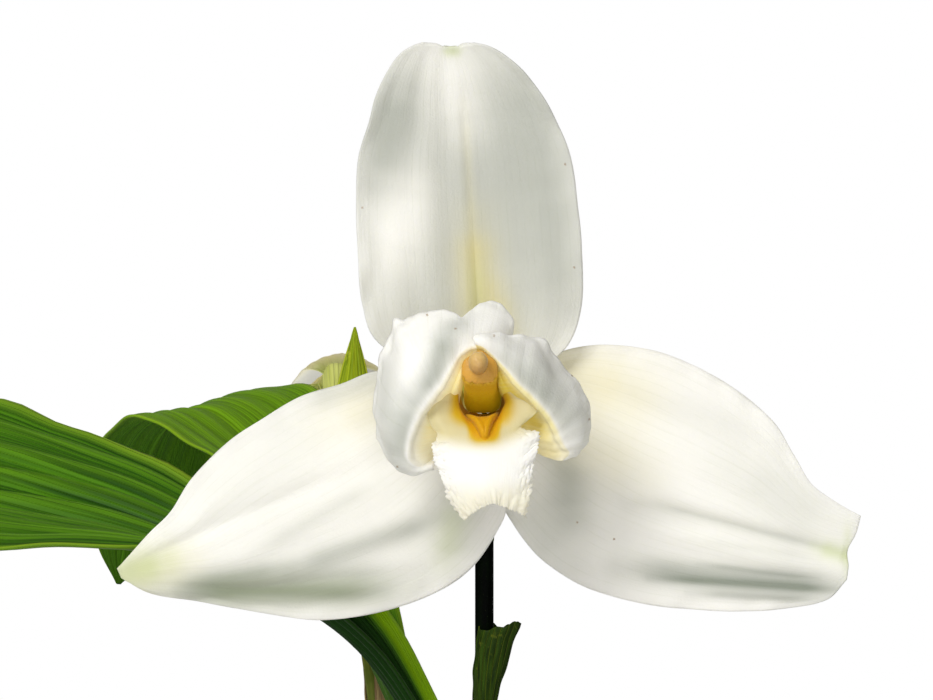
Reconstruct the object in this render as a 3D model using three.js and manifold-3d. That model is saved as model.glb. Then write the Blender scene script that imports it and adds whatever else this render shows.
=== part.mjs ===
import * as THREE from 'three';
import { mergeVertices } from 'three/addons/utils/BufferGeometryUtils.js';
import Module from 'manifold-3d';

// A lycaste orchid in a clay pot: four ribbed bulbs in bark, five pleated leaves, one open
// flower that faces the front and one half-open flower behind it.
// Millimetres, +Z up, the front towards -Y, the origin in the middle of the pot's base.

const wasm = await Module();
wasm.setup();

// Clearance between pieces that touch.
const GAP = 0.3;

// Pot.
const POT_HEIGHT = 125;
const POT_BASE_RADIUS = 47.5;
const POT_RIM_RADIUS = 73;
const POT_WALL = 6;
const POT_FLOOR = 7;
const BAND_HEIGHT = 28;
const BAND_DEPTH = 3.5;
const WALL_SLOPE = 0.189;
const DRAIN_RADIUS = 5.5;
const DRAIN_RING = 28;
const DRAIN_COUNT = 4;
const DRAIN_SIDES = 12;
const EDGE = 1.5;
const POT_SIDES = 36;

// Bark bed and the plant's foot.
const BARK_TOP = 111;
const RHIZOME_RADIUS = 4;
const RHIZOME_END_RADIUS = 3.2;
const RHIZOME_HEIGHT = 108.5;
const BULB_FOOT = RHIZOME_HEIGHT + RHIZOME_RADIUS + GAP;
const ROOT_RADIUS = 1.3;

// Sheet thicknesses.
const LEAF_THICKNESS = 1.2;
const PLEAT = 2;
const SEPAL_THICKNESS = 1.2;
const PETAL_THICKNESS = 0.9;
const BRACT_THICKNESS = 0.7;

// Flowers and stems.
const FLOWER_CENTRE = new THREE.Vector3(0, -30, 330);
const BACK_FLOWER_CENTRE = new THREE.Vector3(-32, 84, 330);
const SCAPE_RADIUS = 1.8;
const ANTHER_RADIUS = 1.65;
const BUD_SEPAL_RADIUS = 14.5;
const BUD_PETAL_RADIUS = 9.5;

const plant = new THREE.Group();

const finish = (color, roughness) => new THREE.MeshStandardMaterial({ color, roughness, metalness: 0 });
const terracotta = () => finish(0xb5673f, 0.85);
const bark = () => finish(0x5b3a22, 0.9);
const bulbGreen = () => finish(0x6f8a35, 0.5);
const leafGreen = () => finish(0x3f7a1c, 0.5);
const stemGreen = () => finish(0x4c5a22, 0.6);
const dryBrown = () => finish(0x9a7b4c, 0.85);
const rootTan = () => finish(0xcfc3a2, 0.8);
const white = () => finish(0xf4f4ea, 0.55);
const cream = () => finish(0xf2eccb, 0.55);
const ochre = () => finish(0xcd963c, 0.5);

// Value of a smooth curve through rows of numbers, with u from 0 to 1 over all rows.
function spline(rows, u) {
	const last = rows.length - 1;
	const at = Math.min(Math.floor(u * last), last - 1);
	const t = u * last - at;
	return rows[0].map((_, k) => {
		const b = rows[at][k];
		const c = rows[at + 1][k];
		const a = at > 0 ? rows[at - 1][k] : 2 * b - c;
		const d = at + 2 <= last ? rows[at + 2][k] : 2 * c - b;
		return b + 0.5 * t * (c - a + t * (2 * a - 5 * b + 4 * c - d + t * (3 * (b - c) + d - a)));
	});
}

// A geometry from points and triangles.
function surface(points, indices) {
	const geometry = new THREE.BufferGeometry().setFromPoints(points);
	geometry.setIndex(indices);
	geometry.computeVertexNormals();
	return geometry;
}

// A closed sheet of even thickness round a grid of points.
function sheet(rows, thickness) {
	const lastRow = rows.length - 1;
	const lastColumn = rows[0].length - 1;
	const layers = [[], []];
	rows.forEach((row, i) => row.forEach((point, j) => {
		const along = rows[Math.min(i + 1, lastRow)][j].clone().sub(rows[Math.max(i - 1, 0)][j]);
		const across = row[Math.min(j + 1, lastColumn)].clone().sub(row[Math.max(j - 1, 0)]);
		const normal = across.cross(along).normalize();
		layers[0].push(point.clone().addScaledVector(normal, thickness / 2));
		layers[1].push(point.clone().addScaledVector(normal, -thickness / 2));
	}));
	const back = layers[0].length;
	const id = (i, j) => i * (lastColumn + 1) + j;
	const indices = [];
	for (let i = 0; i < lastRow; i++) {
		for (let j = 0; j < lastColumn; j++) {
			const [a, b, c, d] = [id(i, j), id(i, j + 1), id(i + 1, j + 1), id(i + 1, j)];
			indices.push(a, b, c, a, c, d);
			indices.push(back + a, back + c, back + b, back + a, back + d, back + c);
		}
	}
	const border = [];
	for (let j = 0; j < lastColumn; j++) border.push(id(0, j));
	for (let i = 0; i < lastRow; i++) border.push(id(i, lastColumn));
	for (let j = lastColumn; j > 0; j--) border.push(id(lastRow, j));
	for (let i = lastRow; i > 0; i--) border.push(id(i, 0));
	border.forEach((p, k) => {
		const q = border[(k + 1) % border.length];
		indices.push(q, p, back + p, q, back + p, back + q);
	});
	return surface([...layers[0], ...layers[1]], indices);
}

// A blade along a midrib. Each station gives the midrib's point, the way the upper face looks,
// the half widths on both sides of the midrib, and how far the margins rise over the midrib.
function blade(stations, { steps = 12, across = 6, thickness, keel = 2, pleat = 0 }) {
	const nudge = 0.01;
	const point = u => new THREE.Vector3(...spline(stations, THREE.MathUtils.clamp(u, 0, 1)));
	const rows = [];
	for (let i = 0; i <= steps; i++) {
		const u = i / steps;
		const [, , , faceX, faceY, faceZ, left, right, rise] = spline(stations, u);
		const tangent = point(u + nudge).sub(point(u - nudge)).normalize();
		const side = tangent.clone().cross(new THREE.Vector3(faceX, faceY, faceZ)).normalize();
		const up = side.clone().cross(tangent);
		const row = [];
		for (let j = 0; j <= across; j++) {
			const v = 2 * j / across - 1;
			const fold = pleat * (j % 2 ? 0.5 : -0.5) * Math.min(1, Math.min(left, right) / 20);
			row.push(point(u)
				.addScaledVector(side, v * (v < 0 ? left : right))
				.addScaledVector(up, rise * Math.abs(v) ** keel + fold));
		}
		rows.push(row);
	}
	return sheet(rows, thickness);
}

// A sheet through a net of hand-placed points, smoothed both ways.
function net(rows, { steps = 12, across = 8, thickness }) {
	const flat = rows.map(row => row.flat());
	const grid = [];
	for (let i = 0; i <= steps; i++) {
		const values = spline(flat, i / steps);
		const line = rows[0].map((_, j) => values.slice(3 * j, 3 * j + 3));
		const row = [];
		for (let j = 0; j <= across; j++) row.push(new THREE.Vector3(...spline(line, j / across)));
		grid.push(row);
	}
	return sheet(grid, thickness);
}

// A round stalk of changing radius through stations of point and radius.
function stalk(stations, { steps = 10, sides = 10 }) {
	const curve = new THREE.CatmullRomCurve3(stations.map(([x, y, z]) => new THREE.Vector3(x, y, z)));
	const points = [];
	const indices = [];
	const frames = curve.computeFrenetFrames(steps);
	for (let i = 0; i <= steps; i++) {
		const [radius] = spline(stations.map(row => [row[3]]), i / steps);
		const centre = curve.getPoint(i / steps);
		const { normals, binormals } = frames;
		for (let j = 0; j < sides; j++) {
			const angle = 2 * Math.PI * j / sides;
			points.push(centre.clone()
				.addScaledVector(normals[i], radius * Math.cos(angle))
				.addScaledVector(binormals[i], radius * Math.sin(angle)));
		}
	}
	const id = (i, j) => i * sides + j % sides;
	for (let i = 0; i < steps; i++) {
		for (let j = 0; j < sides; j++) {
			indices.push(id(i, j), id(i, j + 1), id(i + 1, j + 1));
			indices.push(id(i, j), id(i + 1, j + 1), id(i + 1, j));
		}
	}
	for (let j = 1; j < sides - 1; j++) {
		indices.push(id(0, 0), id(0, j + 1), id(0, j));
		indices.push(id(steps, 0), id(steps, j), id(steps, j + 1));
	}
	return surface(points, indices);
}

// An even round tube along a curve.
function tube(points, radius, { steps = 14, sides = 10 } = {}) {
	const section = new THREE.Shape();
	for (let i = 0; i < sides; i++) {
		const angle = 2 * Math.PI * i / sides;
		const corner = [radius * Math.cos(angle), radius * Math.sin(angle)];
		if (i === 0) section.moveTo(...corner);
		else section.lineTo(...corner);
	}
	section.closePath();
	const extrudePath = new THREE.CatmullRomCurve3(points.map(p => new THREE.Vector3(...p)));
	return new THREE.ExtrudeGeometry(section, { steps, extrudePath, bevelEnabled: false });
}

// Solids for cutting one geometry from another.
function solid(geometry) {
	const bare = new THREE.BufferGeometry();
	bare.setAttribute('position', geometry.getAttribute('position'));
	if (geometry.index) bare.setIndex(geometry.index);
	const merged = mergeVertices(bare, 1e-4);
	return new wasm.Manifold(new wasm.Mesh({
		numProp: 3,
		vertProperties: merged.attributes.position.array,
		triVerts: new Uint32Array(merged.index.array)
	}));
}

function cut(geometry, cutters) {
	let result = solid(geometry);
	for (const cutter of cutters) result = result.subtract(solid(cutter));
	const { vertProperties, triVerts } = result.getMesh();
	const geometryOut = new THREE.BufferGeometry();
	geometryOut.setAttribute('position', new THREE.BufferAttribute(vertProperties, 3));
	geometryOut.setIndex(new THREE.BufferAttribute(triVerts, 1));
	return geometryOut;
}

function add(parent, name, geometry, material) {
	const mesh = new THREE.Mesh(geometry, material);
	mesh.name = name;
	parent.add(mesh);
	return mesh;
}

// The pot, the bark bed and what lies on it.

const innerRadius = z => POT_BASE_RADIUS - POT_WALL + WALL_SLOPE * z;

function lathe(profile, sides) {
	const points = profile.map(([radius, z]) => new THREE.Vector2(radius, z));
	return new THREE.LatheGeometry(points, sides).rotateX(Math.PI / 2);
}

function potGeometry() {
	const bandFoot = POT_HEIGHT - BAND_HEIGHT;
	const bodyRadius = POT_BASE_RADIUS + WALL_SLOPE * bandFoot;
	const profile = [
		[0, 0],
		[POT_BASE_RADIUS - EDGE, 0],
		[POT_BASE_RADIUS, EDGE],
		[bodyRadius, bandFoot],
		[bodyRadius + BAND_DEPTH, bandFoot + EDGE],
		[POT_RIM_RADIUS, POT_HEIGHT - EDGE],
		[POT_RIM_RADIUS - EDGE, POT_HEIGHT],
		[innerRadius(POT_HEIGHT) + EDGE, POT_HEIGHT],
		[innerRadius(POT_HEIGHT), POT_HEIGHT - EDGE],
		[innerRadius(POT_FLOOR), POT_FLOOR + 2],
		[innerRadius(POT_FLOOR) - 2, POT_FLOOR],
		[0, POT_FLOOR]
	];
	const drains = [];
	for (let i = 0; i < DRAIN_COUNT; i++) {
		const angle = 2 * Math.PI * (i + 0.5) / DRAIN_COUNT;
		drains.push(new THREE.CylinderGeometry(DRAIN_RADIUS, DRAIN_RADIUS, 3 * POT_FLOOR, DRAIN_SIDES)
			.rotateX(Math.PI / 2)
			.translate(DRAIN_RING * Math.cos(angle), DRAIN_RING * Math.sin(angle), 0));
	}
	return cut(lathe(profile, POT_SIDES), drains);
}

// The creeping stem under the bulbs, from the oldest bulb to the youngest.
const rhizomeStations = grow => [
	[-48, 18, RHIZOME_HEIGHT, RHIZOME_END_RADIUS + grow],
	[-30, 15, RHIZOME_HEIGHT, RHIZOME_RADIUS + grow],
	[-5, 12, RHIZOME_HEIGHT, RHIZOME_RADIUS + grow],
	[22, 14, RHIZOME_HEIGHT, RHIZOME_RADIUS + grow],
	[46, 17, RHIZOME_HEIGHT, RHIZOME_END_RADIUS + grow]
];

function barkGeometry() {
	const foot = POT_FLOOR + GAP;
	const side = GAP + 0.1;
	const profile = [
		[0, foot],
		[innerRadius(POT_FLOOR) - 2.5, foot],
		[innerRadius(POT_FLOOR) - side, foot + 2.5],
		[innerRadius(BARK_TOP) - side, BARK_TOP],
		[0, BARK_TOP]
	];
	const trench = stalk(rhizomeStations(GAP), { steps: 12, sides: 10 });
	return cut(lathe(profile, POT_SIDES / 2), [trench]);
}

add(plant, 'pot', potGeometry(), terracotta());
add(plant, 'potting_bark', barkGeometry(), bark());
add(plant, 'rhizome', stalk(rhizomeStations(0), { steps: 12, sides: 10 }), stemGreen());

// Loose chips on the bed: place, turn and size.
const CHIPS = [
	[-8, -34, 20, 17, 11, 6],
	[14, -33, -35, 15, 12, 5],
	[-34, -18, 70, 18, 10, 7],
	[48, -22, 10, 13, 11, 6],
	[-50, -6, -20, 13, 10, 5],
	[-30, 42, 40, 16, 12, 7],
	[14, 46, -15, 18, 11, 6],
	[40, 38, 50, 12, 9, 5],
	[2, -50, -60, 13, 9, 5]
];

const CHIP_TOP_SHARE = 0.72;
CHIPS.forEach(([x, y, turn, length, width, height], i) => {
	const corners = [[-1, -1], [1, -0.8], [0.9, 1], [-0.8, 0.9]];
	const points = corners.map(([u, v]) => new THREE.Vector2(u * length / 2, v * width / 2));
	const outline = new THREE.Shape(points);
	const chip = new THREE.ExtrudeGeometry(outline, { depth: height, steps: 1, bevelEnabled: false });
	const place = chip.attributes.position;
	for (let k = 0; k < place.count; k++) {
		if (place.getZ(k) === 0) continue;
		place.setX(k, place.getX(k) * CHIP_TOP_SHARE);
		place.setY(k, place.getY(k) * CHIP_TOP_SHARE);
	}
	const mesh = add(plant, 'bark_chip_' + (i + 1), chip, bark());
	mesh.position.set(x, y, BARK_TOP + GAP);
	mesh.rotation.z = THREE.MathUtils.degToRad(turn);
});

// Bulbs with their dry sheaths. The widths and depths are half sizes.

const BULBS = [
	{ x: 9, y: 10, width: 13.5, depth: 20, height: 80 },
	{ x: 38, y: 16, width: 13.5, depth: 20, height: 76 },
	{ x: -18, y: 14, width: 12.5, depth: 18, height: 68 },
	{ x: -42, y: 17, width: 10.5, depth: 15, height: 58 }
];
const BULB_RIBS = 7;
const RIB_DEPTH_SHARE = 0.05;
const BULB_LEVELS = 10;
const BULB_OUTLINE = [
	[0.5], [0.72], [0.88], [0.97], [1], [0.98], [0.91], [0.8], [0.65], [0.5], [0.36]
];

// A point on a bulb's ribbed skin, pushed out by grow.
function bulbPoint(bulb, angle, height, grow = 0) {
	const [share] = spline(BULB_OUTLINE, height);
	const rib = 1 - RIB_DEPTH_SHARE * Math.sin(BULB_RIBS * angle) ** 2;
	return new THREE.Vector3(
		bulb.x + (bulb.width * share * rib + grow) * Math.cos(angle),
		bulb.y + (bulb.depth * share * rib + grow) * Math.sin(angle),
		BULB_FOOT + bulb.height * height
	);
}

function bulbGeometry(bulb) {
	const sides = 2 * BULB_RIBS;
	const points = [];
	const indices = [];
	const id = (i, j) => i * sides + j % sides;
	for (let i = 0; i <= BULB_LEVELS; i++) {
		for (let j = 0; j < sides; j++) {
			points.push(bulbPoint(bulb, Math.PI * (2 * j + 0.5) / sides, i / BULB_LEVELS));
		}
	}
	for (let i = 0; i < BULB_LEVELS; i++) {
		for (let j = 0; j < sides; j++) {
			indices.push(id(i, j), id(i, j + 1), id(i + 1, j + 1));
			indices.push(id(i, j), id(i + 1, j + 1), id(i + 1, j));
		}
	}
	for (let j = 1; j < sides - 1; j++) {
		indices.push(id(0, 0), id(0, j + 1), id(0, j));
		indices.push(id(BULB_LEVELS, 0), id(BULB_LEVELS, j), id(BULB_LEVELS, j + 1));
	}
	return surface(points, indices);
}

BULBS.forEach((bulb, i) => add(plant, 'pseudobulb_' + (i + 1), bulbGeometry(bulb), bulbGreen()));

// A dry sheath that hugs a bulb round the middle angle, taller in its middle.
function bulbSheath(bulb, middle, spread, tall) {
	const clear = 1.3;
	const foot = 0.03;
	const slant = 0.45;
	const narrowing = 0.35;
	const steps = 5;
	const across = 6;
	const rows = [];
	for (let i = 0; i <= steps; i++) {
		const u = i / steps;
		const row = [];
		for (let j = 0; j <= across; j++) {
			const v = 2 * j / across - 1;
			const height = foot + tall * u * (1 - slant * v * v);
			row.push(bulbPoint(bulb, middle + v * spread * (1 - narrowing * u), height, clear));
		}
		rows.push(row);
	}
	return sheet(rows, BRACT_THICKNESS);
}

// Bulb, middle angle, half spread and height share of each.
const SHEATHS = [
	[0, -Math.PI / 2 + 0.5, 0.62, 0.42],
	[0, Math.PI / 2 - 0.2, 0.8, 0.5],
	[1, -Math.PI / 2, 0.9, 0.45],
	[1, Math.PI / 2 - 0.1, 0.8, 0.38]
];
SHEATHS.forEach(([bulb, middle, spread, tall], i) => {
	add(plant, 'bulb_sheath_' + (i + 1), bulbSheath(BULBS[bulb], middle, spread, tall), dryBrown());
});

// Roots that leave the bulbs' feet and lie over the bark.
const rootHeight = BARK_TOP + GAP + ROOT_RADIUS;
const ROOTS = [
	[[-24, -3], [-27, -22], [-22, -42], [-12, -57]],
	[[30, 2], [33, -16], [27, -50]],
	[[-40, 34], [-48, 28], [-57, 14]],
	[[28, 31], [29, 42], [24, 55]]
];
ROOTS.forEach((route, i) => {
	const points = route.map(([x, y]) => [x, y, rootHeight]);
	add(plant, 'root_' + (i + 1), tube(points, ROOT_RADIUS, { steps: 10, sides: 8 }), rootTan());
});

// Leaves. Stations: midrib point, direction of the upper face, near and far half width, fold.
const LEAVES = [
	[
		[6, 8, 193.4, 1, -0.1, 0, 3.5, 3.5, 2.5],
		[2, 4, 220, 1, -0.1, 0.2, 4, 4, 4],
		[-6, -1, 247, 1, -0.15, 0.3, 4.5, 5.5, 4.5],
		[-15, -5, 270, 0.95, -0.2, 0.4, 6, 6, 4.5],
		[-30, -7, 286, 0.7, -0.3, 0.7, 11, 12, 6],
		[-54, 1, 298, 0.35, -0.22, 0.95, 20, 21, 5],
		[-82, 7, 306, 0.15, -0.28, 0.95, 32, 32, 4.5],
		[-116, 9, 311, 0, -0.36, 0.95, 38, 39, 5],
		[-158, 12, 304, -0.2, -0.34, 0.95, 37, 37, 4],
		[-197, 18, 284, -0.5, -0.25, 0.85, 31, 31, 4],
		[-230, 25, 254, -0.7, -0.2, 0.7, 19, 19, 3],
		[-252, 31, 220, -0.8, -0.2, 0.5, 2, 2, 0]
	],
	[
		[7, 14, 193.4, 0.9, 0.3, 0, 3.2, 3.2, 2.5],
		[0, 14, 218, 1, -0.1, 0.2, 3.5, 3.5, 4],
		[-9, 12, 243, 1, -0.2, 0.2, 4, 4, 5],
		[-18.6, 12, 268, 1, -0.3, 0.3, 5, 5, 5],
		[-28, 20, 288, 0.8, -0.4, 0.5, 10, 10, 6],
		[-39, 36, 307, 0.5, -0.6, 0.7, 17, 13, 5],
		[-51, 53, 320.5, 0.15, -0.7, 0.8, 21, 20.5, 2],
		[-61, 65, 326.5, -0.1, -0.4, 0.9, 19, 21.5, 2],
		[-70, 76, 322, -0.4, 0.4, 0.7, 15, 18, 2],
		[-76, 84, 310, -0.3, 0.9, 0.3, 11, 15, 2],
		[-80, 89, 296, -0.3, 0.9, 0.2, 7, 10, 1],
		[-82, 92, 286, -0.3, 0.9, 0.2, 2, 2, 0]
	],
	[
		[38, 20, 189.4, -0.8, -0.6, 0, 3.5, 3.5, 2.5],
		[47, 28, 212, -0.7, -0.5, 0.4, 5, 5, 4],
		[62, 38, 232, -0.4, -0.3, 0.9, 14, 14, 6],
		[85, 50, 245, -0.1, -0.2, 1, 27, 27, 6],
		[115, 62, 246, 0.1, -0.1, 1, 34, 34, 5],
		[148, 75, 232, 0.4, 0, 0.9, 33, 33, 4],
		[178, 87, 205, 0.6, 0, 0.7, 26, 26, 4],
		[200, 96, 172, 0.8, 0.1, 0.5, 14, 14, 3],
		[212, 101, 142, 0.9, 0.1, 0.4, 2, 2, 0]
	],
	[
		[38, 12, 189.4, -0.7, 0.6, 0, 3.5, 3.5, 2.5],
		[48, 2, 210, -0.6, 0.5, 0.5, 5, 5, 4],
		[66, -12, 226, -0.3, 0.2, 0.9, 14, 14, 6],
		[90, -28, 233, 0, 0, 1, 25, 25, 6],
		[118, -44, 226, 0.2, -0.2, 1, 31, 31, 5],
		[145, -60, 205, 0.5, -0.3, 0.8, 29, 29, 4],
		[165, -72, 175, 0.7, -0.4, 0.5, 20, 20, 3],
		[176, -79, 145, 0.8, -0.4, 0.3, 2, 2, 0]
	],
	[
		[14, 15, 193.4, -0.3, -0.9, 0, 3.5, 3.5, 2.5],
		[20, 30, 216, 0, -0.9, 0.4, 5, 5, 4],
		[27, 52, 236, 0, -0.5, 0.9, 14, 14, 6],
		[33, 82, 246, 0, -0.1, 1, 26, 26, 6],
		[37, 116, 238, 0, 0.2, 1, 32, 32, 5],
		[39, 148, 214, 0, 0.5, 0.8, 29, 29, 4],
		[39, 172, 182, 0, 0.7, 0.5, 18, 18, 3],
		[38, 186, 152, 0, 0.8, 0.3, 2, 2, 0]
	]
];
const foliage = { steps: 16, across: 8, thickness: LEAF_THICKNESS, keel: 1, pleat: PLEAT };
LEAVES.forEach((stations, i) => {
	add(plant, 'leaf_' + (i + 1), blade(stations, foliage), leafGreen());
});

// Flower stems.
const FRONT_SCAPE = [
	[2.6, -8.5, BARK_TOP + 2 * GAP],
	[2, -12.5, 130],
	[1, -15.5, 155],
	[0.3, -18, 200],
	[0.3, -21, 250],
	[0.3, -22.5, 302]
];
const BACK_SCAPE = [
	[-6, -11, BARK_TOP + 2 * GAP],
	[-9, -10, 150],
	[-14, 2, 205],
	[-21.5, 21, 267],
	[-26, 38, 290],
	[-29, 58, 306]
];
add(plant, 'front_scape', tube(FRONT_SCAPE, SCAPE_RADIUS), stemGreen());
add(plant, 'back_scape', tube(BACK_SCAPE, SCAPE_RADIUS), stemGreen());

// A bract wrapped round a stem between two shares of its length. It opens upwards and its tip
// leans out on the side given by turn.
function wrap(path, from, to, turn, { lean = 3, reach = 2.7 } = {}) {
	const curve = new THREE.CatmullRomCurve3(path.map(p => new THREE.Vector3(...p)));
	const hug = SCAPE_RADIUS + 1.5 * GAP + BRACT_THICKNESS / 2;
	const opening = 0.35;
	const tip = 0.15;
	const steps = 7;
	const across = 8;
	const rows = [];
	for (let i = 0; i <= steps; i++) {
		const u = i / steps;
		const row = [];
		for (let j = 0; j <= across; j++) {
			const v = 2 * j / across - 1;
			const inner = (1 - v * v) ** 2;
			const angle = turn + v * reach * (1 - opening * u * u);
			const wide = hug + lean * u * u * inner;
			const place = from + (to - from) * u * (1 - tip + tip * inner);
			const tangent = curve.getTangent(place);
			const east = new THREE.Vector3(1, 0, 0).addScaledVector(tangent, -tangent.x).normalize();
			const north = tangent.clone().cross(east);
			row.push(curve.getPoint(place)
				.addScaledVector(east, wide * Math.cos(angle))
				.addScaledVector(north, wide * Math.sin(angle)));
		}
		rows.push(row);
	}
	return sheet(rows, BRACT_THICKNESS);
}

add(plant, 'front_sheath_high', wrap(FRONT_SCAPE, 0.8, 0.94, -0.35, { lean: 2.6 }), leafGreen());
add(plant, 'front_sheath_low', wrap(FRONT_SCAPE, 0.5, 0.68, 2.8, { lean: 2 }), leafGreen());
add(plant, 'back_sheath_high', wrap(BACK_SCAPE, 0.5, 0.66, 0.6, { lean: 1 }), dryBrown());
add(plant, 'back_sheath_low', wrap(BACK_SCAPE, 0.2, 0.36, 3.6, { lean: 2 }), leafGreen());

// The open flower. Its parts face the viewer.
const FACE = [0, -1, 0];
const DORSAL = [
	[0.2, 1.5, 3.2, ...FACE, 3.6, 3.6, 0],
	[-0.2, 3.2, 7, ...FACE, 14, 13, 1],
	[-0.6, 4.4, 13, ...FACE, 21, 18.6, 1.5],
	[-1.2, 5.4, 22, ...FACE, 22.2, 20.3, 2],
	[-2, 6, 32, ...FACE, 22.1, 20.4, 2.4],
	[-3, 5.6, 42, ...FACE, 20.8, 20.2, 2.6],
	[-4, 4.6, 50.5, ...FACE, 18.6, 17.6, 2.6],
	[-4.6, 3.2, 58.5, ...FACE, 16.4, 13.8, 2.2],
	[-5, 1.6, 63.6, ...FACE, 13.6, 9.4, 1.4],
	[-5.2, 0.8, 66.8, ...FACE, 8.6, 4.2, 0.6]
];
const RIGHT_LATERAL = [
	[3.6, 1.5, -1.8, ...FACE, 3.2, 2.4, 0],
	[6.8, 4.8, -5.5, ...FACE, 24, 7.6, -1.5],
	[11, 5.4, -9.5, ...FACE, 26, 14, -1.5],
	[20.2, 5.2, -15.6, ...FACE, 27.8, 17.3, -1],
	[29.7, 4.6, -20.3, ...FACE, 28.8, 17.9, -1],
	[41, 3.4, -23.5, ...FACE, 26.8, 16.8, -1],
	[50.5, 2, -25.8, ...FACE, 22.2, 15.2, -1],
	[58, 0.6, -27.5, ...FACE, 14.2, 13.4, -0.5],
	[63.5, -0.6, -28.5, ...FACE, 9.8, 11.6, 0],
	[69, -2, -29.6, ...FACE, 7.8, 6.6, 0]
];
const LEFT_LATERAL = [
	[-3.6, 1.5, -2, ...FACE, 2.6, 3, 0],
	[-6, 2.6, -7.4, ...FACE, 17, 14, -1],
	[-11.9, 3.4, -11.8, ...FACE, 20.8, 18.8, -1.5],
	[-23.2, 3.4, -18.4, ...FACE, 22.8, 22, -2],
	[-34.6, 2.4, -23.5, ...FACE, 19.6, 20.7, -2],
	[-45.9, 1, -27.9, ...FACE, 13.4, 17.3, -1.5],
	[-55.4, -0.6, -30.7, ...FACE, 8.3, 9.8, -1],
	[-62.9, -2, -32.6, ...FACE, 5.1, 5.1, -0.5],
	[-69, -3.2, -33.3, ...FACE, 1.6, 1.6, 0]
];
// Petals run from the base over the column, crest at the front and roll outwards.
const LEFT_PETAL = [
	[[0.5, 0, 6.6], [-2.5, 0, 4.8], [-4.6, 0, 1.8], [-5, 0, -0.6], [-4, 0, -2.8]],
	[[4.2, -6, 16], [-2.2, -7, 9.5], [-7.4, -7, 2.5], [-8.6, -7, -3.5], [-7.4, -7, -9]],
	[[-0.4, -15, 17.3], [-4.2, -15, 11], [-10, -15, 3], [-12, -15, -5], [-9.5, -14, -12]],
	[[-4.6, -23, 16], [-4.8, -26, 9], [-9.6, -26, 1.4], [-12.9, -25, -5.1], [-10.6, -22, -13]],
	[[-11.9, -22, 15.7], [-13, -24, 9], [-14.8, -23, 1.7], [-15.8, -22, -5.6], [-13, -20, -13.4]],
	[[-15.9, -17, 14.1], [-19.1, -17, 6.8], [-19.9, -16, -0.2], [-18.8, -16, -9], [-14.7, -18, -13.7]]
];
const RIGHT_PETAL = [
	[[2.6, 0, 5], [4.2, 0, 3.4], [5, 0, 0.8], [5, 0, -1.2], [4, 0, -2.8]],
	[[2.6, -7, 9.6], [5.8, -7, 5.5], [7.6, -7, 0.5], [8.4, -7, -4], [7.4, -7, -8.5]],
	[[0.2, -16, 12.2], [6, -16, 6.5], [10.6, -16, 0], [12.6, -16, -6], [10.5, -15, -11]],
	[[-0.8, -25.5, 11.4], [4.4, -25, 5], [9, -25.5, -1.6], [12.2, -25, -6.5], [11.6, -21, -10.5]],
	[[5.7, -22, 11.5], [11.2, -23, 5], [14.8, -23, -1.6], [15.7, -22, -6.8], [13.2, -19, -11]],
	[[10.8, -17, 10.7], [16, -17, 5], [19.4, -17, -1.1], [19.1, -17, -7], [14.7, -17, -11.4]]
];
// The lip: a narrow claw, a deep throat, side lobes as a collar and a hanging middle lobe.
const LIP = [
	[[-2.6, -2.4, -3.6], [-1.4, -2.4, -3.8], [0, -2.4, -3.9], [1.4, -2.4, -3.8], [2.6, -2.4, -3.6]],
	[[-5, -8, -2.6], [-4.4, -8, -6], [0, -8, -8], [4.4, -8, -6], [5, -8, -2.6]],
	[[-6.4, -15, 1.6], [-6.4, -15, -3.5], [0, -15, -7], [6.4, -15, -3.5], [6.4, -15, 1.6]],
	[[-8, -19, 1], [-7, -19, -3], [0, -19, -5.6], [7, -19, -3], [7.6, -19, 1]],
	[[-10.2, -21.4, -2.4], [-6.4, -22, -4.2], [0, -21.6, -5.2], [6.4, -22, -4], [9.5, -21.4, -2.2]],
	[[-9.2, -23.6, -8], [-5, -24, -7.4], [0.4, -24.2, -7.4], [5, -24, -7], [10, -23.6, -6.4]],
	[[-7.8, -25.4, -13.4], [-3.6, -26, -12.8], [0.9, -26.4, -12.6], [5.4, -26, -12.4], [9.1, -25.4, -12]],
	[[-5.2, -25.6, -18.8], [-1.8, -26.6, -18], [1.6, -26.8, -17.4], [5.2, -26.6, -17.4], [8.4, -25.6, -18]],
	[[-3.8, -25, -21.6], [-0.6, -26, -21], [1.9, -26.4, -20.2], [5, -26, -20.8], [7.7, -25, -21]]
];
// A flower's own frame: it faces -Y, +Z is its top and the origin is where its parts meet.
const front = new THREE.Group();
front.position.copy(FLOWER_CENTRE);
plant.add(front);

const sepal = { steps: 14, across: 6, thickness: SEPAL_THICKNESS };
const petal = { steps: 12, across: 8, thickness: PETAL_THICKNESS };
add(front, 'front_sepal_dorsal', blade(DORSAL, sepal), white());
add(front, 'front_sepal_right', blade(RIGHT_LATERAL, sepal), white());
add(front, 'front_sepal_left', blade(LEFT_LATERAL, sepal), white());
add(front, 'front_petal_left', net(LEFT_PETAL, petal), white());
add(front, 'front_petal_right', net(RIGHT_PETAL, petal), white());
add(front, 'front_lip', net(LIP, { steps: 18, across: 8, thickness: PETAL_THICKNESS }), cream());

const COLUMN = [
	[0, 2.1, 0, 2.5],
	[-0.1, -5, 0.8, 2.5],
	[-0.3, -12, 2.4, 2.7],
	[-0.5, -19, 4.2, 3],
	[-0.7, -24, 5.5, 3.2],
	[-0.75, -26.2, 6, 2.6]
];
add(front, 'front_column', stalk(COLUMN, { steps: 9, sides: 12 }), ochre());
const cap = new THREE.SphereGeometry(ANTHER_RADIUS, 10, 6);
const anther = add(front, 'front_anther_cap', cap, cream());
anther.position.set(-1, -28.3, 6.7);

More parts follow.
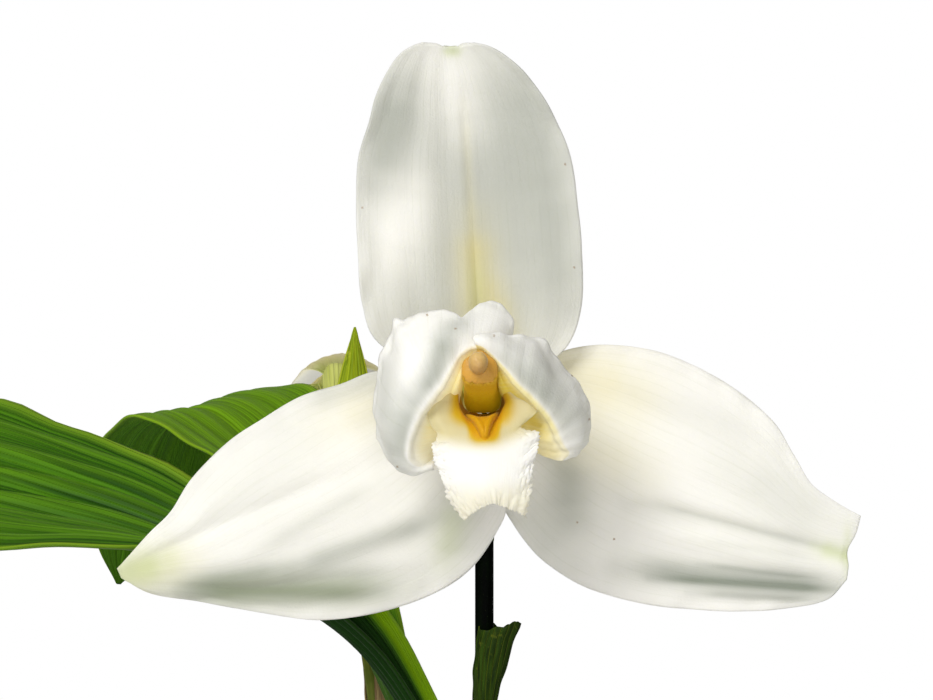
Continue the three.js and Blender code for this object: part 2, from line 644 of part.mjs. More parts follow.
const OVARY = [
	[0.3, 7.6, -27.5, 2],
	[0.2, 9.8, -18, 2.4],
	[0, 10.4, -9, 2.8],
	[0, 8.2, -1.6, 3.1],
	[0, 5.2, -0.2, 3.4],
	[0, 3.2, 0, 3.6]
];
add(front, 'front_ovary', stalk(OVARY, { steps: 12, sides: 12 }), leafGreen());

const FLORAL_BRACT = [
	[0, 11.8, -25, ...FACE, 1.8, 1.8, 0.8],
	[0.2, 13.4, -18, ...FACE, 4.6, 4.6, 2.6],
	[0.3, 14.6, -9, ...FACE, 6, 6, 3.4],
	[0.4, 14.6, 1, ...FACE, 4.4, 4.4, 2],
	[0.6, 13, 10, ...FACE, 1, 1, 0]
];
const bract = { steps: 8, across: 6, thickness: BRACT_THICKNESS };
add(front, 'front_floral_bract', blade(FLORAL_BRACT, bract), leafGreen());

// The half-open flower behind: its sepals and petals still stand together round its axis.
const back = new THREE.Group();
back.position.copy(BACK_FLOWER_CENTRE);
back.rotation.set(THREE.MathUtils.degToRad(30), 0, THREE.MathUtils.degToRad(177), 'ZXY');
plant.add(back);

const BUD_SEPAL = [
	[0, 1.5, 3.4, 0, -1, -0.2, 3, 3, 0.2],
	[0, -0.8, 8.6, 0, -0.8, -0.6, 7.5, 7.5, 2.5],
	[0, -9, BUD_SEPAL_RADIUS - 1, 0, -0.3, -1, 11.4, 11.4, 6],
	[0, -22, BUD_SEPAL_RADIUS, 0, 0, -1, 12, 12, 6.5],
	[0, -35, BUD_SEPAL_RADIUS - 1.5, 0, 0.2, -1, 9.6, 9.6, 4.4],
	[0, -45, BUD_SEPAL_RADIUS - 5, 0, 0.4, -1, 5, 5, 1.6],
	[0, -50, BUD_SEPAL_RADIUS - 8, 0, 0.5, -1, 1.5, 1.5, 0]
];
const BUD_PETAL = [
	[0, 0, 3.4, 0, -1, -0.2, 2, 2, 0.2],
	[0, -3, 6.4, 0, -0.6, -0.8, 4, 4, 1],
	[0, -10, BUD_PETAL_RADIUS - 0.5, 0, -0.2, -1, 6.2, 6.2, 2.2],
	[0, -21, BUD_PETAL_RADIUS, 0, 0, -1, 6.8, 6.8, 2.6],
	[0, -32, BUD_PETAL_RADIUS - 2, 0, 0.2, -1, 4.6, 4.6, 1.4],
	[0, -39, BUD_PETAL_RADIUS - 4, 0, 0.4, -1, 1.4, 1.4, 0]
];
const BUD_LIP = [
	[0, -2.4, 3, 0, -1, -0.2, 2, 2, 0],
	[0, -8, 6.4, 0, -0.3, -1, 3.6, 3.6, 1.4],
	[0, -15, 7.2, 0, 0, -1, 4.4, 4.4, 2],
	[0, -21, 6.4, 0, 0.2, -1, 4, 4, 1],
	[0, -26, 7.4, 0, -0.2, -1, 2.6, 2.6, 0]
];

// Stations turned about the flower's axis, by an angle in degrees.
function around(stations, degrees) {
	const turn = THREE.MathUtils.degToRad(degrees);
	const [cos, sin] = [Math.cos(turn), Math.sin(turn)];
	const spin = (x, y, z) => [x * cos + z * sin, y, z * cos - x * sin];
	return stations.map(([x, y, z, faceX, faceY, faceZ, ...rest]) => {
		return [...spin(x, y, z), ...spin(faceX, faceY, faceZ), ...rest];
	});
}

const budSepal = { steps: 12, across: 6, thickness: SEPAL_THICKNESS };
const budPetal = { steps: 8, across: 4, thickness: PETAL_THICKNESS };
add(back, 'back_sepal_dorsal', blade(BUD_SEPAL, budSepal), white());
add(back, 'back_sepal_right', blade(around(BUD_SEPAL, 120), budSepal), white());
add(back, 'back_sepal_left', blade(around(BUD_SEPAL, -120), budSepal), white());
add(back, 'back_petal_right', blade(around(BUD_PETAL, 60), budPetal), white());
add(back, 'back_petal_left', blade(around(BUD_PETAL, -60), budPetal), white());
add(back, 'back_lip', blade(around(BUD_LIP, 180), budPetal), cream());

const BACK_COLUMN = [
	[0, 2.1, 0, 2.3],
	[0, -8, 0.6, 2.4],
	[0, -16, 1.5, 2.6],
	[0, -22, 2.4, 2.7],
	[0, -24, 2.8, 2.2]
];
add(back, 'back_column', stalk(BACK_COLUMN, { steps: 6, sides: 10 }), ochre());
const backAnther = add(back, 'back_anther_cap', cap.clone(), cream());
backAnther.position.set(0, -26.1, 3.2);

// The bent ovary and its bract, in the plant's frame.
const BACK_OVARY = [
	[-29.1, 58.5, 306.4, 2],
	[-29.9, 63.2, 311.4, 2.3],
	[-30.8, 68, 319.5, 2.6],
	[-31.5, 72, 328, 2.9],
	[-31.9, 76.8, 332.9, 3.1],
	[-32.1, 81.5, 331.7, 3.4]
];
add(plant, 'back_ovary', stalk(BACK_OVARY, { steps: 10, sides: 12 }), leafGreen());
const BACK_FACE = [0, 1, -0.3];
const BACK_FLORAL_BRACT = [
	[-28.2, 52.1, 305, ...BACK_FACE, 2.6, 2.6, 1],
	[-28, 56, 315, ...BACK_FACE, 4.4, 4.4, 2.4],
	[-27.8, 61, 324, ...BACK_FACE, 4.8, 4.8, 2.4],
	[-27.6, 65, 334, ...BACK_FACE, 3.4, 3.4, 1.4],
	[-27.6, 69, 344, ...BACK_FACE, 0.9, 0.9, 0]
];
add(plant, 'back_floral_bract', blade(BACK_FLORAL_BRACT, bract), leafGreen());

export default plant;
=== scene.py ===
import logging
import math
from dataclasses import dataclass, field
from enum import Enum
from typing import Callable, Mapping, Sequence

import bpy
import numpy as np
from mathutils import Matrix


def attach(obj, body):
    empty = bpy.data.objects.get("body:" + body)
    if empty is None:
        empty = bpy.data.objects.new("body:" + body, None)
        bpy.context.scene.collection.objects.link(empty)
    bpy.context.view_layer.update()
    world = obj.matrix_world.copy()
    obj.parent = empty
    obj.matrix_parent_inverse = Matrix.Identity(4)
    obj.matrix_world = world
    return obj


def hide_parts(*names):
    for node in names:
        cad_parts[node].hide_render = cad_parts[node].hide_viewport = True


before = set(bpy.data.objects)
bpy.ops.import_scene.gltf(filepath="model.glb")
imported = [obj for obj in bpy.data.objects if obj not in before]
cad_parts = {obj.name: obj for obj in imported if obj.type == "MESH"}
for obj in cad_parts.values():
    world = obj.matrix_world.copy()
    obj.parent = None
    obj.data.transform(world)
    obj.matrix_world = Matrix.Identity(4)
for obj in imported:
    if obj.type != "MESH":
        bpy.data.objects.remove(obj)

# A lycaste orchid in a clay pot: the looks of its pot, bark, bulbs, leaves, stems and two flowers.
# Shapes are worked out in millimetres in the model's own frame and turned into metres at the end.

log = logging.getLogger("orchid")

Array = np.ndarray
Rows = Sequence[Sequence[float]] | Array
Colour = tuple[float, float, float]

MM = 0.001
BODY = "root"
GRAIN = "grain"
TINT = "tint"

# Millimetres. GAP is the room that is left between two pieces that lie together.
GAP = 0.3
BARK_TOP = 111.0
RHIZOME_HEIGHT = 108.5
RHIZOME_RADIUS = 4.0
BULB_FOOT = RHIZOME_HEIGHT + RHIZOME_RADIUS + GAP
SCAPE_RADIUS = 1.8
FLOWER_CENTRE = (0.0, -30.0, 330.0)
BACK_FLOWER_CENTRE = (-32.0, 84.0, 330.0)
ANTHER_HEIGHT = 6.7
FACE = (0.0, -1.0, 0.0)
BLACK = (0.0, 0.0, 0.0)


def srgb(red: float, green: float, blue: float) -> Colour:
    """Linear colour of a screen colour.

    Args:
        red: Red, from 0 to 255.
        green: Green, from 0 to 255.
        blue: Blue, from 0 to 255.

    Returns:
        The three linear parts, from 0 to 1.
    """
    def linear(part: float) -> float:
        """Linear value of one part."""
        share = part / 255
        return share / 12.92 if share <= 0.04045 else ((share + 0.055) / 1.055) ** 2.4
    return linear(red), linear(green), linear(blue)


def curve_through(rows: Rows, shares: Array) -> Array:
    """Values of a smooth curve through rows of numbers.

    Args:
        rows: The rows that it passes, evenly spaced along it.
        shares: Places along it, from 0 to 1.

    Returns:
        One row of values for each share.
    """
    table = np.asarray(rows, float)
    last = len(table) - 1
    padded = np.vstack([2 * table[0] - table[1], table, 2 * table[-1] - table[-2]])
    at = np.minimum((shares * last).astype(int), last - 1)
    t = (shares * last - at)[:, None]
    a, b, c, d = (padded[at + k] for k in range(4))
    return b + 0.5 * t * (c - a + t * (2 * a - 5 * b + 4 * c - d + t * (3 * (b - c) + d - a)))


def unit(vectors: Array) -> Array:
    """The same vectors with length 1."""
    return vectors / np.maximum(np.linalg.norm(vectors, axis=-1, keepdims=True), 1e-9)


def heading(rows: Rows, shares: Array, nudge: float = 0.01) -> Array:
    """The way that a smooth curve through points runs.

    Args:
        rows: Rows that start with a point.
        shares: Places along it, from 0 to 1.
        nudge: Half the stretch that it is measured over.

    Returns:
        One direction for each share.
    """
    ahead = curve_through(rows, np.clip(shares + nudge, 0, 1))[:, :3]
    behind = curve_through(rows, np.clip(shares - nudge, 0, 1))[:, :3]
    return unit(ahead - behind)


def ease(values: Array, low: float, high: float) -> Array:
    """A smooth rise from 0 at low to 1 at high.

    Args:
        values: Numbers to look up.
        low: Where the rise starts.
        high: Where it ends. It may be below low, which makes a fall.

    Returns:
        The eased values.
    """
    t = np.clip((values - low) / (high - low), 0, 1)
    return t * t * (3 - 2 * t)


def bell(values: Array, middle: float, width: float) -> Array:
    """A soft bump of height 1 round middle.

    Args:
        values: Numbers to look up.
        middle: Where the bump is highest.
        width: How far from there it has fallen to about a third.

    Returns:
        The height of the bump at each value.
    """
    return np.exp(-(((values - middle) / width) ** 2))


def ripple(places: Array, wavelength: float, seed: int, waves: int = 7) -> Array:
    """Soft uneven waves in space, about -1 to 1.

    Args:
        places: Points, with three parts each.
        wavelength: Usual distance between two crests.
        seed: Number that picks the pattern.
        waves: How many plain waves are added up.

    Returns:
        One number for each point.
    """
    rng = np.random.default_rng(seed)
    total = np.zeros(places.shape[:-1])
    for _ in range(waves):
        direction = unit(rng.normal(size=3)) / wavelength * rng.uniform(0.6, 1.7)
        total += np.sin(2 * math.pi * (places @ direction + rng.uniform()))
    return total / math.sqrt(waves) / 1.2


class Value:
    """A number that varies over a surface. Python maths on it adds Math nodes."""

    def __init__(self, shader: "Shader", socket: bpy.types.NodeSocket) -> None:
        """Wraps an output socket of a material's node tree."""
        self.shader = shader
        self.socket = socket

    def _maths(self, operation: str, *terms: "Value | float") -> "Value":
        """Adds one Math node.

        Args:
            operation: Name of the node's operation.
            *terms: Its inputs in order.

        Returns:
            The node's result.
        """
        node = self.shader.node("ShaderNodeMath", {"operation": operation}, dict(enumerate(terms)))
        return Value(self.shader, node.outputs[0])

    def __add__(self, other: "Value | float") -> "Value":
        """The sum."""
        return self._maths("ADD", self, other)

    def __radd__(self, other: float) -> "Value":
        """The sum with a plain number first."""
        return self._maths("ADD", other, self)

    def __sub__(self, other: "Value | float") -> "Value":
        """The difference."""
        return self._maths("SUBTRACT", self, other)

    def __rsub__(self, other: float) -> "Value":
        """The difference with a plain number first."""
        return self._maths("SUBTRACT", other, self)

    def __mul__(self, other: "Value | float") -> "Value":
        """The product."""
        return self._maths("MULTIPLY", self, other)

    def __abs__(self) -> "Value":
        """The size without its sign."""
        return self._maths("ABSOLUTE", self)

    def waves(self, count: float) -> "Value":
        """Waves between 0 and 1, with that many of them in a stretch of 1."""
        return abs(self._maths("SINE", self * (count * math.pi)))

    def highest(self, other: "Value | float") -> "Value":
        """The greater of two values."""
        return self._maths("MAXIMUM", self, other)

    def eased(self, low: float, high: float) -> "Value":
        """A smooth rise from 0 at low to 1 at high.

        Args:
            low: Where the rise starts.
            high: Where it ends. It may be below low, which makes a fall.

        Returns:
            The eased value.
        """
        if low > high:
            return 1 - self.eased(high, low)
        settings = {"interpolation_type": "SMOOTHSTEP"}
        sockets = {"Value": self, "From Min": low, "From Max": high}
        node = self.shader.node("ShaderNodeMapRange", settings, sockets)
        return Value(self.shader, node.outputs[0])


class Tree:
    """A node tree, with one way to add a node."""

    def __init__(self, tree: bpy.types.NodeTree) -> None:
        """Takes a tree and empties it."""
        self.tree = tree
        self.tree.nodes.clear()

    def node(
        self,
        kind: str,
        settings: Mapping[str, object] | None = None,
        sockets: Mapping[int | str, object] | None = None,
    ) -> bpy.types.Node:
        """Adds a node of any kind.

        Args:
            kind: The node's type.
            settings: Its settings, set first. "stops" gives a ramp's places and colours.
            sockets: What goes into its sockets, values or outputs of other nodes.

        Returns:
            The node.
        """
        made = self.tree.nodes.new(kind)
        for key, value in (settings or {}).items():
            if key == "stops":
                self._set_stops(made, value)
            else:
                setattr(made, key, value)
        for key, value in (sockets or {}).items():
            source = value.socket if isinstance(value, Value) else value
            if isinstance(source, bpy.types.NodeSocket):
                self.tree.links.new(source, made.inputs[key])
            else:
                made.inputs[key].default_value = source
        return made

    def _set_stops(self, ramp: bpy.types.Node, stops: Sequence[tuple[float, Colour]]) -> None:
        """Gives a ramp node its places and colours.

        Args:
            ramp: The node.
            stops: A place from 0 to 1 and a colour for each stop, in order.
        """
        elements = ramp.color_ramp.elements
        while len(elements) < len(stops):
            elements.new(1.0)
        for element, (place, colour) in zip(elements, stops):
            element.position = place
            element.color = (*colour, 1.0)


class Shader(Tree):
    """One material and its node tree."""

    def __init__(self, name: str) -> None:
        """Starts an empty material of that name."""
        self.material = bpy.data.materials.new(name)
        self.material.use_nodes = True
        super().__init__(self.material.node_tree)

    def attribute(self, name: str) -> tuple[Value, Value, Value]:
        """The three parts of a piece's own vector attribute."""
        own = self.node("ShaderNodeAttribute", {"attribute_name": name})
        return self.parts(own.outputs["Vector"])

    def parts(self, vector: bpy.types.NodeSocket) -> tuple[Value, Value, Value]:
        """The three parts of a vector."""
        split = self.node("ShaderNodeSeparateXYZ", {}, {0: vector})
        x, y, z = (Value(self, output) for output in split.outputs)
        return x, y, z

    def vector(self, x: "Value | float", y: "Value | float", z: "Value | float") -> bpy.types.NodeSocket:
        """A vector from three values."""
        return self.node("ShaderNodeCombineXYZ", {}, {0: x, 1: y, 2: z}).outputs[0]

    def place(self) -> bpy.types.NodeSocket:
        """The point on the surface, in millimetres of the model's frame."""
        spot = self.node("ShaderNodeTexCoord").outputs["Object"]
        scaled = self.node("ShaderNodeVectorMath", {"operation": "SCALE"}, {0: spot, "Scale": 1 / MM})
        return scaled.outputs[0]

    def noise(self, at: bpy.types.NodeSocket, scale: float = 1.0, detail: float = 2.0) -> Value:
        """Cloudy noise from 0 to 1.

        Args:
            at: Where it is looked up.
            scale: How many clouds there are in one unit.
            detail: How many finer layers it has.

        Returns:
            The noise.
        """
        sockets = {"Vector": at, "Scale": scale, "Detail": detail}
        return Value(self, self.node("ShaderNodeTexNoise", {}, sockets).outputs[0])

    def streaks(
        self,
        across: Value,
        along: Value,
        many: float,
        few: float,
        detail: float = 3.0,
        layer: float = 0.0,
    ) -> Value:
        """Noise from 0 to 1 that is drawn out along a piece.

        Args:
            across: The place across the piece.
            along: The place along it.
            many: How many streaks there are in a stretch of 1 across it.
            few: How many there are in a stretch of 1 along it.
            detail: How many finer layers it has.
            layer: Number that picks the pattern.

        Returns:
            The noise.
        """
        return self.noise(self.vector(across * many, along * few, layer), 1.0, detail)

    def seams(self, at: bpy.types.NodeSocket, scale: float) -> Value:
        """Distance to the nearest seam between uneven cells.

        Args:
            at: Where it is looked up.
            scale: How many cells there are in one unit.

        Returns:
            The distance.
        """
        settings = {"feature": "DISTANCE_TO_EDGE"}
        node = self.node("ShaderNodeTexVoronoi", settings, {"Vector": at, "Scale": scale})
        return Value(self, node.outputs["Distance"])

    def mix(
        self,
        share: "Value | float",
        first: "bpy.types.NodeSocket | Colour",
        second: "bpy.types.NodeSocket | Colour",
    ) -> bpy.types.NodeSocket:
        """Mixes two colours.

        Args:
            share: How much of the second shows, from 0 to 1.
            first: A colour.
            second: Another colour.

        Returns:
            The mixed colour.
        """
        def socket_value(colour: "bpy.types.NodeSocket | Colour") -> object:
            """A plain colour with its fourth part, or the socket as it is."""
            return (*colour, 1.0) if isinstance(colour, tuple) else colour
        sockets = {0: share, 6: socket_value(first), 7: socket_value(second)}
        return self.node("ShaderNodeMix", {"data_type": "RGBA"}, sockets).outputs[2]

    def ramp(self, value: Value, stops: Sequence[tuple[float, Colour]]) -> bpy.types.NodeSocket:
        """A colour looked up on a ramp."""
        return self.node("ShaderNodeValToRGB", {"stops": stops}, {0: value}).outputs[0]

    def bump(self, height: Value, depth: float) -> bpy.types.NodeSocket:
        """The normal of a surface roughened by a height.

        Args:
            height: The height, from 0 to 1.
            depth: What a height of 1 stands for, in millimetres.

        Returns:
            The bent normal.
        """
        sockets = {"Height": height, "Distance": depth * MM, "Strength": 1.0}
        return self.node("ShaderNodeBump", {}, sockets).outputs[0]

    def finish(self, sockets: Mapping[str, object], glow: float = 0.0) -> bpy.types.Material:
        """Ends the tree in a Principled surface.

        Args:
            sockets: Its values and links by socket name.
            glow: Share of the light that shines through, as in a thin petal.

        Returns:
            The finished material.
        """
        surface = self.node("ShaderNodeBsdfPrincipled", {}, sockets)
        if glow:
            through = self.node("ShaderNodeBsdfTranslucent", {}, {"Color": sockets["Base Color"]})
            both = {0: glow, 1: surface.outputs[0], 2: through.outputs[0]}
            surface = self.node("ShaderNodeMixShader", {}, both)
        self.node("ShaderNodeOutputMaterial", {}, {"Surface": surface.outputs[0]})
        return self.material


@dataclass(frozen=True)
class Finish:
    """A look that pieces share. Each kind of finish paints its own node tree."""

    name: str

    def material(self) -> bpy.types.Material:
        """The material of this finish, made once."""
        return bpy.data.materials.get(self.name) or self.paint(Shader(self.name))

    def paint(self, shader: Shader) -> bpy.types.Material:
        """Builds the material's nodes."""
        raise NotImplementedError


def flesh(weight: float, spread: Colour, depth: float) -> dict[str, object]:
    """The sockets for light that scatters under a living skin.

    Args:
        weight: Share of the light that does.
        spread: How far its red, green and blue go, as shares of the depth.
        depth: The depth in millimetres.

    Returns:
        The values by socket name.
    """
    return {"Subsurface Weight": weight, "Subsurface Radius": spread, "Subsurface Scale": depth * MM}


@dataclass(frozen=True)
class PetalFinish(Finish):
    """White sepals and petals: faint long veins, tinted places, painted shade, a painted glow on yellow
    parts if set, and a fine sparkling skin.
    """

    white: Colour = srgb(252, 250, 243)
    vein: Colour = srgb(222, 224, 204)
    green: Colour = srgb(190, 206, 96)
    yellow: Colour = srgb(240, 220, 84)
    # Grey-green painted shade, laid on where the sheets' washes mark it.
    painted_shade: Colour = srgb(150, 156, 141)
    speck: Colour = srgb(150, 110, 50)
    specks: tuple[tuple[float, float], ...] = ()
    speck_radius: float = 0.16
    veins: float = 13.0
    glow: float = 0.35
    # Painted glow: emission on the yellow parts, which stands for light that reaches the walls of the cup
    # through the flesh.
    painted_wall_glow: float = 0.0

    def paint(self, shader: Shader) -> bpy.types.Material:
        """Builds the material's nodes."""
        across, along, _ = shader.attribute(GRAIN)
        green, yellow, painted_shade = shader.attribute(TINT)
        place = shader.place()
        drift = shader.streaks(across, along, 3.0, 4.0, 2.0)
        lines = (across + drift * 0.06).waves(self.veins)
        vein = lines.eased(0.28, 0.0) * shader.noise(place, 0.18, 1.0).eased(0.35, 0.6)
        streak = shader.streaks(across, along, 34.0, 2.2)
        colour = shader.mix(vein * 0.16, self.white, self.vein)
        colour = shader.mix(streak.eased(0.5, 0.8) * 0.16, colour, self.vein)
        # Painted shade.
        colour = shader.mix(painted_shade, colour, self.painted_shade)
        colour = shader.mix(yellow * (0.8 + streak * 0.4), colour, self.yellow)
        colour = shader.mix(green * (0.7 + streak * 0.6), colour, self.green)
        x, _, z = shader.parts(place)
        flat = shader.vector(x, 0.0, z)
        for left, up in self.specks:
            spot = (FLOWER_CENTRE[0] + left, 0.0, FLOWER_CENTRE[2] + up)
            away = shader.node("ShaderNodeVectorMath", {"operation": "DISTANCE"}, {0: flat, 1: spot})
            mark = Value(shader, away.outputs["Value"]) + shader.noise(place, 2.4, 1.0) * 0.4
            near = mark.eased(self.speck_radius + 0.4, self.speck_radius)
            colour = shader.mix(near * 0.8, colour, self.speck)
        skin = shader.noise(place, 2.2, 2.0) * 0.5 + streak * 0.4 + vein * -0.12
        return shader.finish({
            "Base Color": colour,
            "Roughness": 0.46 + streak * 0.14,
            "Normal": shader.bump(skin, 0.16),
            **flesh(0.25, (1.0, 1.0, 0.8), 1.2),
            "Sheen Weight": 0.12,
            # Painted glow on the yellow parts.
            "Emission Color": shader.mix(yellow.eased(0.1, 0.5), BLACK, colour),
            "Emission Strength": self.painted_wall_glow,
        }, glow=self.glow)


@dataclass(frozen=True)
class LipFinish(Finish):
    """The lip: cream, white in its hanging lobe, golden at the throat and vivid on the callus, with painted
    shade deep in the throat.
    """

    white: Colour = srgb(255, 254, 250)
    cream: Colour = srgb(220, 208, 146)
    yellow: Colour = srgb(226, 196, 46)
    gold: Colour = srgb(228, 176, 0)
    # Olive painted shade for deep in the throat.
    dark: Colour = srgb(150, 126, 6)

    def paint(self, shader: Shader) -> bpy.types.Material:
        """Builds the material's nodes."""
        across, along, _ = shader.attribute(GRAIN)
        cream, gold, dark = shader.attribute(TINT)
        place = shader.place()
        rays = shader.streaks(across, along, 26.0, 7.0)
        colour = shader.mix(cream, self.white, self.cream)
        colour = shader.mix(gold.eased(0.0, 0.55), colour, self.yellow)
        colour = shader.mix(gold.eased(0.3, 0.95), colour, self.gold)
        # Painted shade deep in the throat.
        colour = shader.mix(dark, colour, self.dark)
        grains = shader.noise(place, 3.0, 2.0)
        skin = rays * 0.7 + grains * 0.3
        return shader.finish({
            "Base Color": colour,
            "Roughness": 0.44 + grains * 0.16,
            "Specular IOR Level": 0.3,
            "Normal": shader.bump(skin, 0.1),
            **flesh(0.25, (1.0, 0.9, 0.6), 1.0),
            "Sheen Weight": 0.1,
        }, glow=0.4)


@dataclass(frozen=True)
class ColumnFinish(Finish):
    """The column: tan at its hood, dull gold below it and brighter towards its foot, with a painted glow on
    its lower part.
    """

    tip: Colour = srgb(196, 146, 56)
    middle: Colour = srgb(196, 152, 30)
    foot: Colour = srgb(222, 190, 20)
    # Painted glow: emission on its lower part, which stands for light that reaches it through the flesh.
    painted_foot_glow: float = 0.09

    def paint(self, shader: Shader) -> bpy.types.Material:
        """Builds the material's nodes."""
        around, along, _ = shader.attribute(GRAIN)
        place = shader.place()
        streak = shader.streaks(around, along, 12.0, 3.0)
        at = along + (streak - 0.5) * 0.12
        colour = shader.ramp(at, [
            (0.45, self.foot), (0.7, self.middle), (0.84, self.middle), (0.9, self.tip),
        ])
        grains = shader.noise(place, 2.6, 2.0)
        return shader.finish({
            "Base Color": colour,
            "Roughness": 0.36 + grains * 0.18,
            "Specular IOR Level": 0.3,
            "Normal": shader.bump(streak * 0.5 + grains * 0.5, 0.18),
            **flesh(0.2, (1.0, 0.7, 0.3), 1.0),
            # Painted glow, strongest on the lower part and gone at the hood.
            "Emission Color": shader.mix(along.eased(0.84, 0.6), BLACK, colour),
            "Emission Strength": self.painted_foot_glow,
        })


@dataclass(frozen=True)
class AntherFinish(Finish):
    """The anther cap: pale tan, a little waxy, paler on top."""

    low: Colour = srgb(170, 126, 60)
    high: Colour = srgb(200, 166, 100)

    def paint(self, shader: Shader) -> bpy.types.Material:
        """Builds the material's nodes."""
        place = shader.place()
        _, _, height = shader.parts(place)
        centre = FLOWER_CENTRE[2] + ANTHER_HEIGHT
        clouds = shader.noise(place, 0.8, 2.0)
        colour = shader.mix((height + clouds).eased(centre - 1.6, centre + 2.2), self.low, self.high)
        return shader.finish({
            "Base Color": colour,
            "Roughness": 0.34 + clouds * 0.12,
            "Normal": shader.bump(shader.noise(place, 3.0, 2.0), 0.08),
            **flesh(0.2, (1.0, 0.8, 0.5), 1.0),
        })


@dataclass(frozen=True)
class LeafFinish(Finish):
    """A pleated leaf: darker grooves, lighter ribs, fine parallel veins, a paler underside, and painted
    light and painted shade where its tone is set.
    """

    deep: Colour = srgb(28, 68, 2)
    green: Colour = srgb(74, 124, 12)
    light: Colour = srgb(98, 142, 22)
    rib: Colour = srgb(132, 158, 36)
    under: Colour = srgb(72, 116, 18)
    # Painted light for parts lit through the leaf, and painted shade for parts in deep shadow.
    lit: Colour = srgb(140, 184, 8)
    painted_shade_green: Colour = srgb(10, 46, 2)
    veins: float = 34.0

    def paint(self, shader: Shader) -> bpy.types.Material:
        """Builds the material's nodes."""
        across, along, side = shader.attribute(GRAIN)
        ridge, rim, tone = shader.attribute(TINT)
        streak = shader.streaks(across, along, 30.0, 5.0, 4.0)
        broad = shader.streaks(across, along, 8.0, 3.0, 2.0, layer=2.0)
        fine = across.waves(self.veins)
        colour = shader.mix(streak.eased(0.3, 0.72), self.deep, self.green)
        colour = shader.mix((ridge * 0.55 + streak * 0.35).eased(0.3, 0.85) * 0.6, colour, self.light)
        colour = shader.mix(fine.eased(0.22, 0.0) * broad.eased(0.3, 0.7) * 0.4, colour, self.light)
        colour = shader.mix(ridge.eased(0.93, 0.995) * 0.55, colour, self.rib)
        colour = shader.mix(rim.eased(0.9, 1.0) * 0.6, colour, self.rib)
        colour = shader.mix(side.eased(0.2, -0.4) * 0.5, colour, self.under)
        # Painted light where the tone is above 0, painted shade where it is below.
        colour = shader.mix(tone.eased(0.0, 1.0) * (0.6 + streak * 0.5), colour, self.lit)
        colour = shader.mix(tone.eased(0.0, -1.0) * 0.95, colour, self.painted_shade_green)
        skin = fine.eased(0.0, 0.5) * 0.5 + streak * 0.5
        return shader.finish({
            "Base Color": colour,
            "Roughness": 0.4 + streak * 0.2,
            "Specular IOR Level": 0.08,
            "Normal": shader.bump(skin, 0.3),
            **flesh(0.12, (0.6, 1.0, 0.2), 0.8),
        })


@dataclass(frozen=True)
class BractFinish(Finish):
    """A leafy bract or an ovary: olive green with long veins and a paler or drier margin."""

    deep: Colour = srgb(14, 28, 0)
    green: Colour = srgb(42, 64, 4)
    edge: Colour = srgb(92, 100, 24)
    veins: float = 9.0

    def paint(self, shader: Shader) -> bpy.types.Material:
        """Builds the material's nodes."""
        across, along, _ = shader.attribute(GRAIN)
        place = shader.place()
        streak = shader.streaks(across, along, 14.0, 3.0)
        lines = across.waves(self.veins)
        colour = shader.mix(streak.eased(0.25, 0.75), self.deep, self.green)
        colour = shader.mix(lines.eased(0.25, 0.0) * 0.5, colour, self.edge)
        colour = shader.mix(abs(across).eased(0.86, 1.0) * 0.7, colour, self.edge)
        colour = shader.mix(shader.noise(place, 0.5, 3.0).eased(0.62, 0.75) * 0.5, colour, self.edge)
        skin = lines.eased(0.0, 0.4) * 0.6 + streak * 0.4
        return shader.finish({
            "Base Color": colour,
            "Roughness": 0.42 + streak * 0.2,
            "Specular IOR Level": 0.08,
            "Normal": shader.bump(skin, 0.2),
        })


@dataclass(frozen=True)
class StemFinish(Finish):
    """A flower stem or rhizome: two tones in streaks along it, and a third towards its foot."""

    # The defaults are the front stem's: near black, its own dark colour darkened further as painted shade
    # for the deep shade it hangs in.
    dark: Colour = srgb(1, 2, 1)
    light: Colour = srgb(4, 12, 2)
    foot: Colour = srgb(42, 62, 24)

    def paint(self, shader: Shader) -> bpy.types.Material:
        """Builds the material's nodes."""
        around, along, _ = shader.attribute(GRAIN)
        place = shader.place()
        streak = shader.streaks(around, along, 9.0, 5.0)
        clouds = shader.noise(place, 0.25, 3.0)
        tone = streak * 0.5 + clouds * 0.5
        colour = shader.mix(tone.eased(0.42, 0.72), self.dark, self.light)
        colour = shader.mix(along.eased(0.84, 0.5) * (0.6 + tone * 0.4), colour, self.foot)
        return shader.finish({
            "Base Color": colour,
            "Roughness": 0.4 + clouds * 0.25,
            "Specular IOR Level": 0.02,
            "Normal": shader.bump(streak * 0.6 + shader.noise(place, 2.0, 2.0) * 0.4, 0.25),
        })


@dataclass(frozen=True)
class BulbFinish(Finish):
    """A living bulb: glossy green ribs, olive furrows, and brown scars near the top and foot."""

    furrow: Colour = srgb(70, 92, 30)
    green: Colour = srgb(112, 138, 52)
    yellow: Colour = srgb(160, 164, 80)
    scar: Colour = srgb(112, 88, 50)

    def paint(self, shader: Shader) -> bpy.types.Material:
        """Builds the material's nodes."""
        around, along, _ = shader.attribute(GRAIN)
        ridge = shader.attribute(TINT)[0]
        place = shader.place()
        streak = shader.streaks(around, along, 12.0, 4.0)
        clouds = shader.noise(place, 0.12, 3.0)
        colour = shader.mix((ridge * 0.6 + streak * 0.4).eased(0.2, 0.8), self.furrow, self.green)
        colour = shader.mix(clouds.eased(0.48, 0.72) * 0.6, colour, self.yellow)
        ends = along.eased(0.9, 1.0).highest(along.eased(0.07, 0.0))
        rough = ends.highest(shader.noise(place, 0.6, 4.0).eased(0.66, 0.74) * 0.7)
        colour = shader.mix(rough * 0.8, colour, self.scar)
        return shader.finish({
            "Base Color": colour,
            "Roughness": 0.3 + rough * 0.4 + streak * 0.1,
            "Normal": shader.bump(streak * 0.6 + shader.noise(place, 1.6, 3.0) * 0.4, 0.35),
            "Coat Weight": 0.1,
            "Coat Roughness": 0.3,
        })


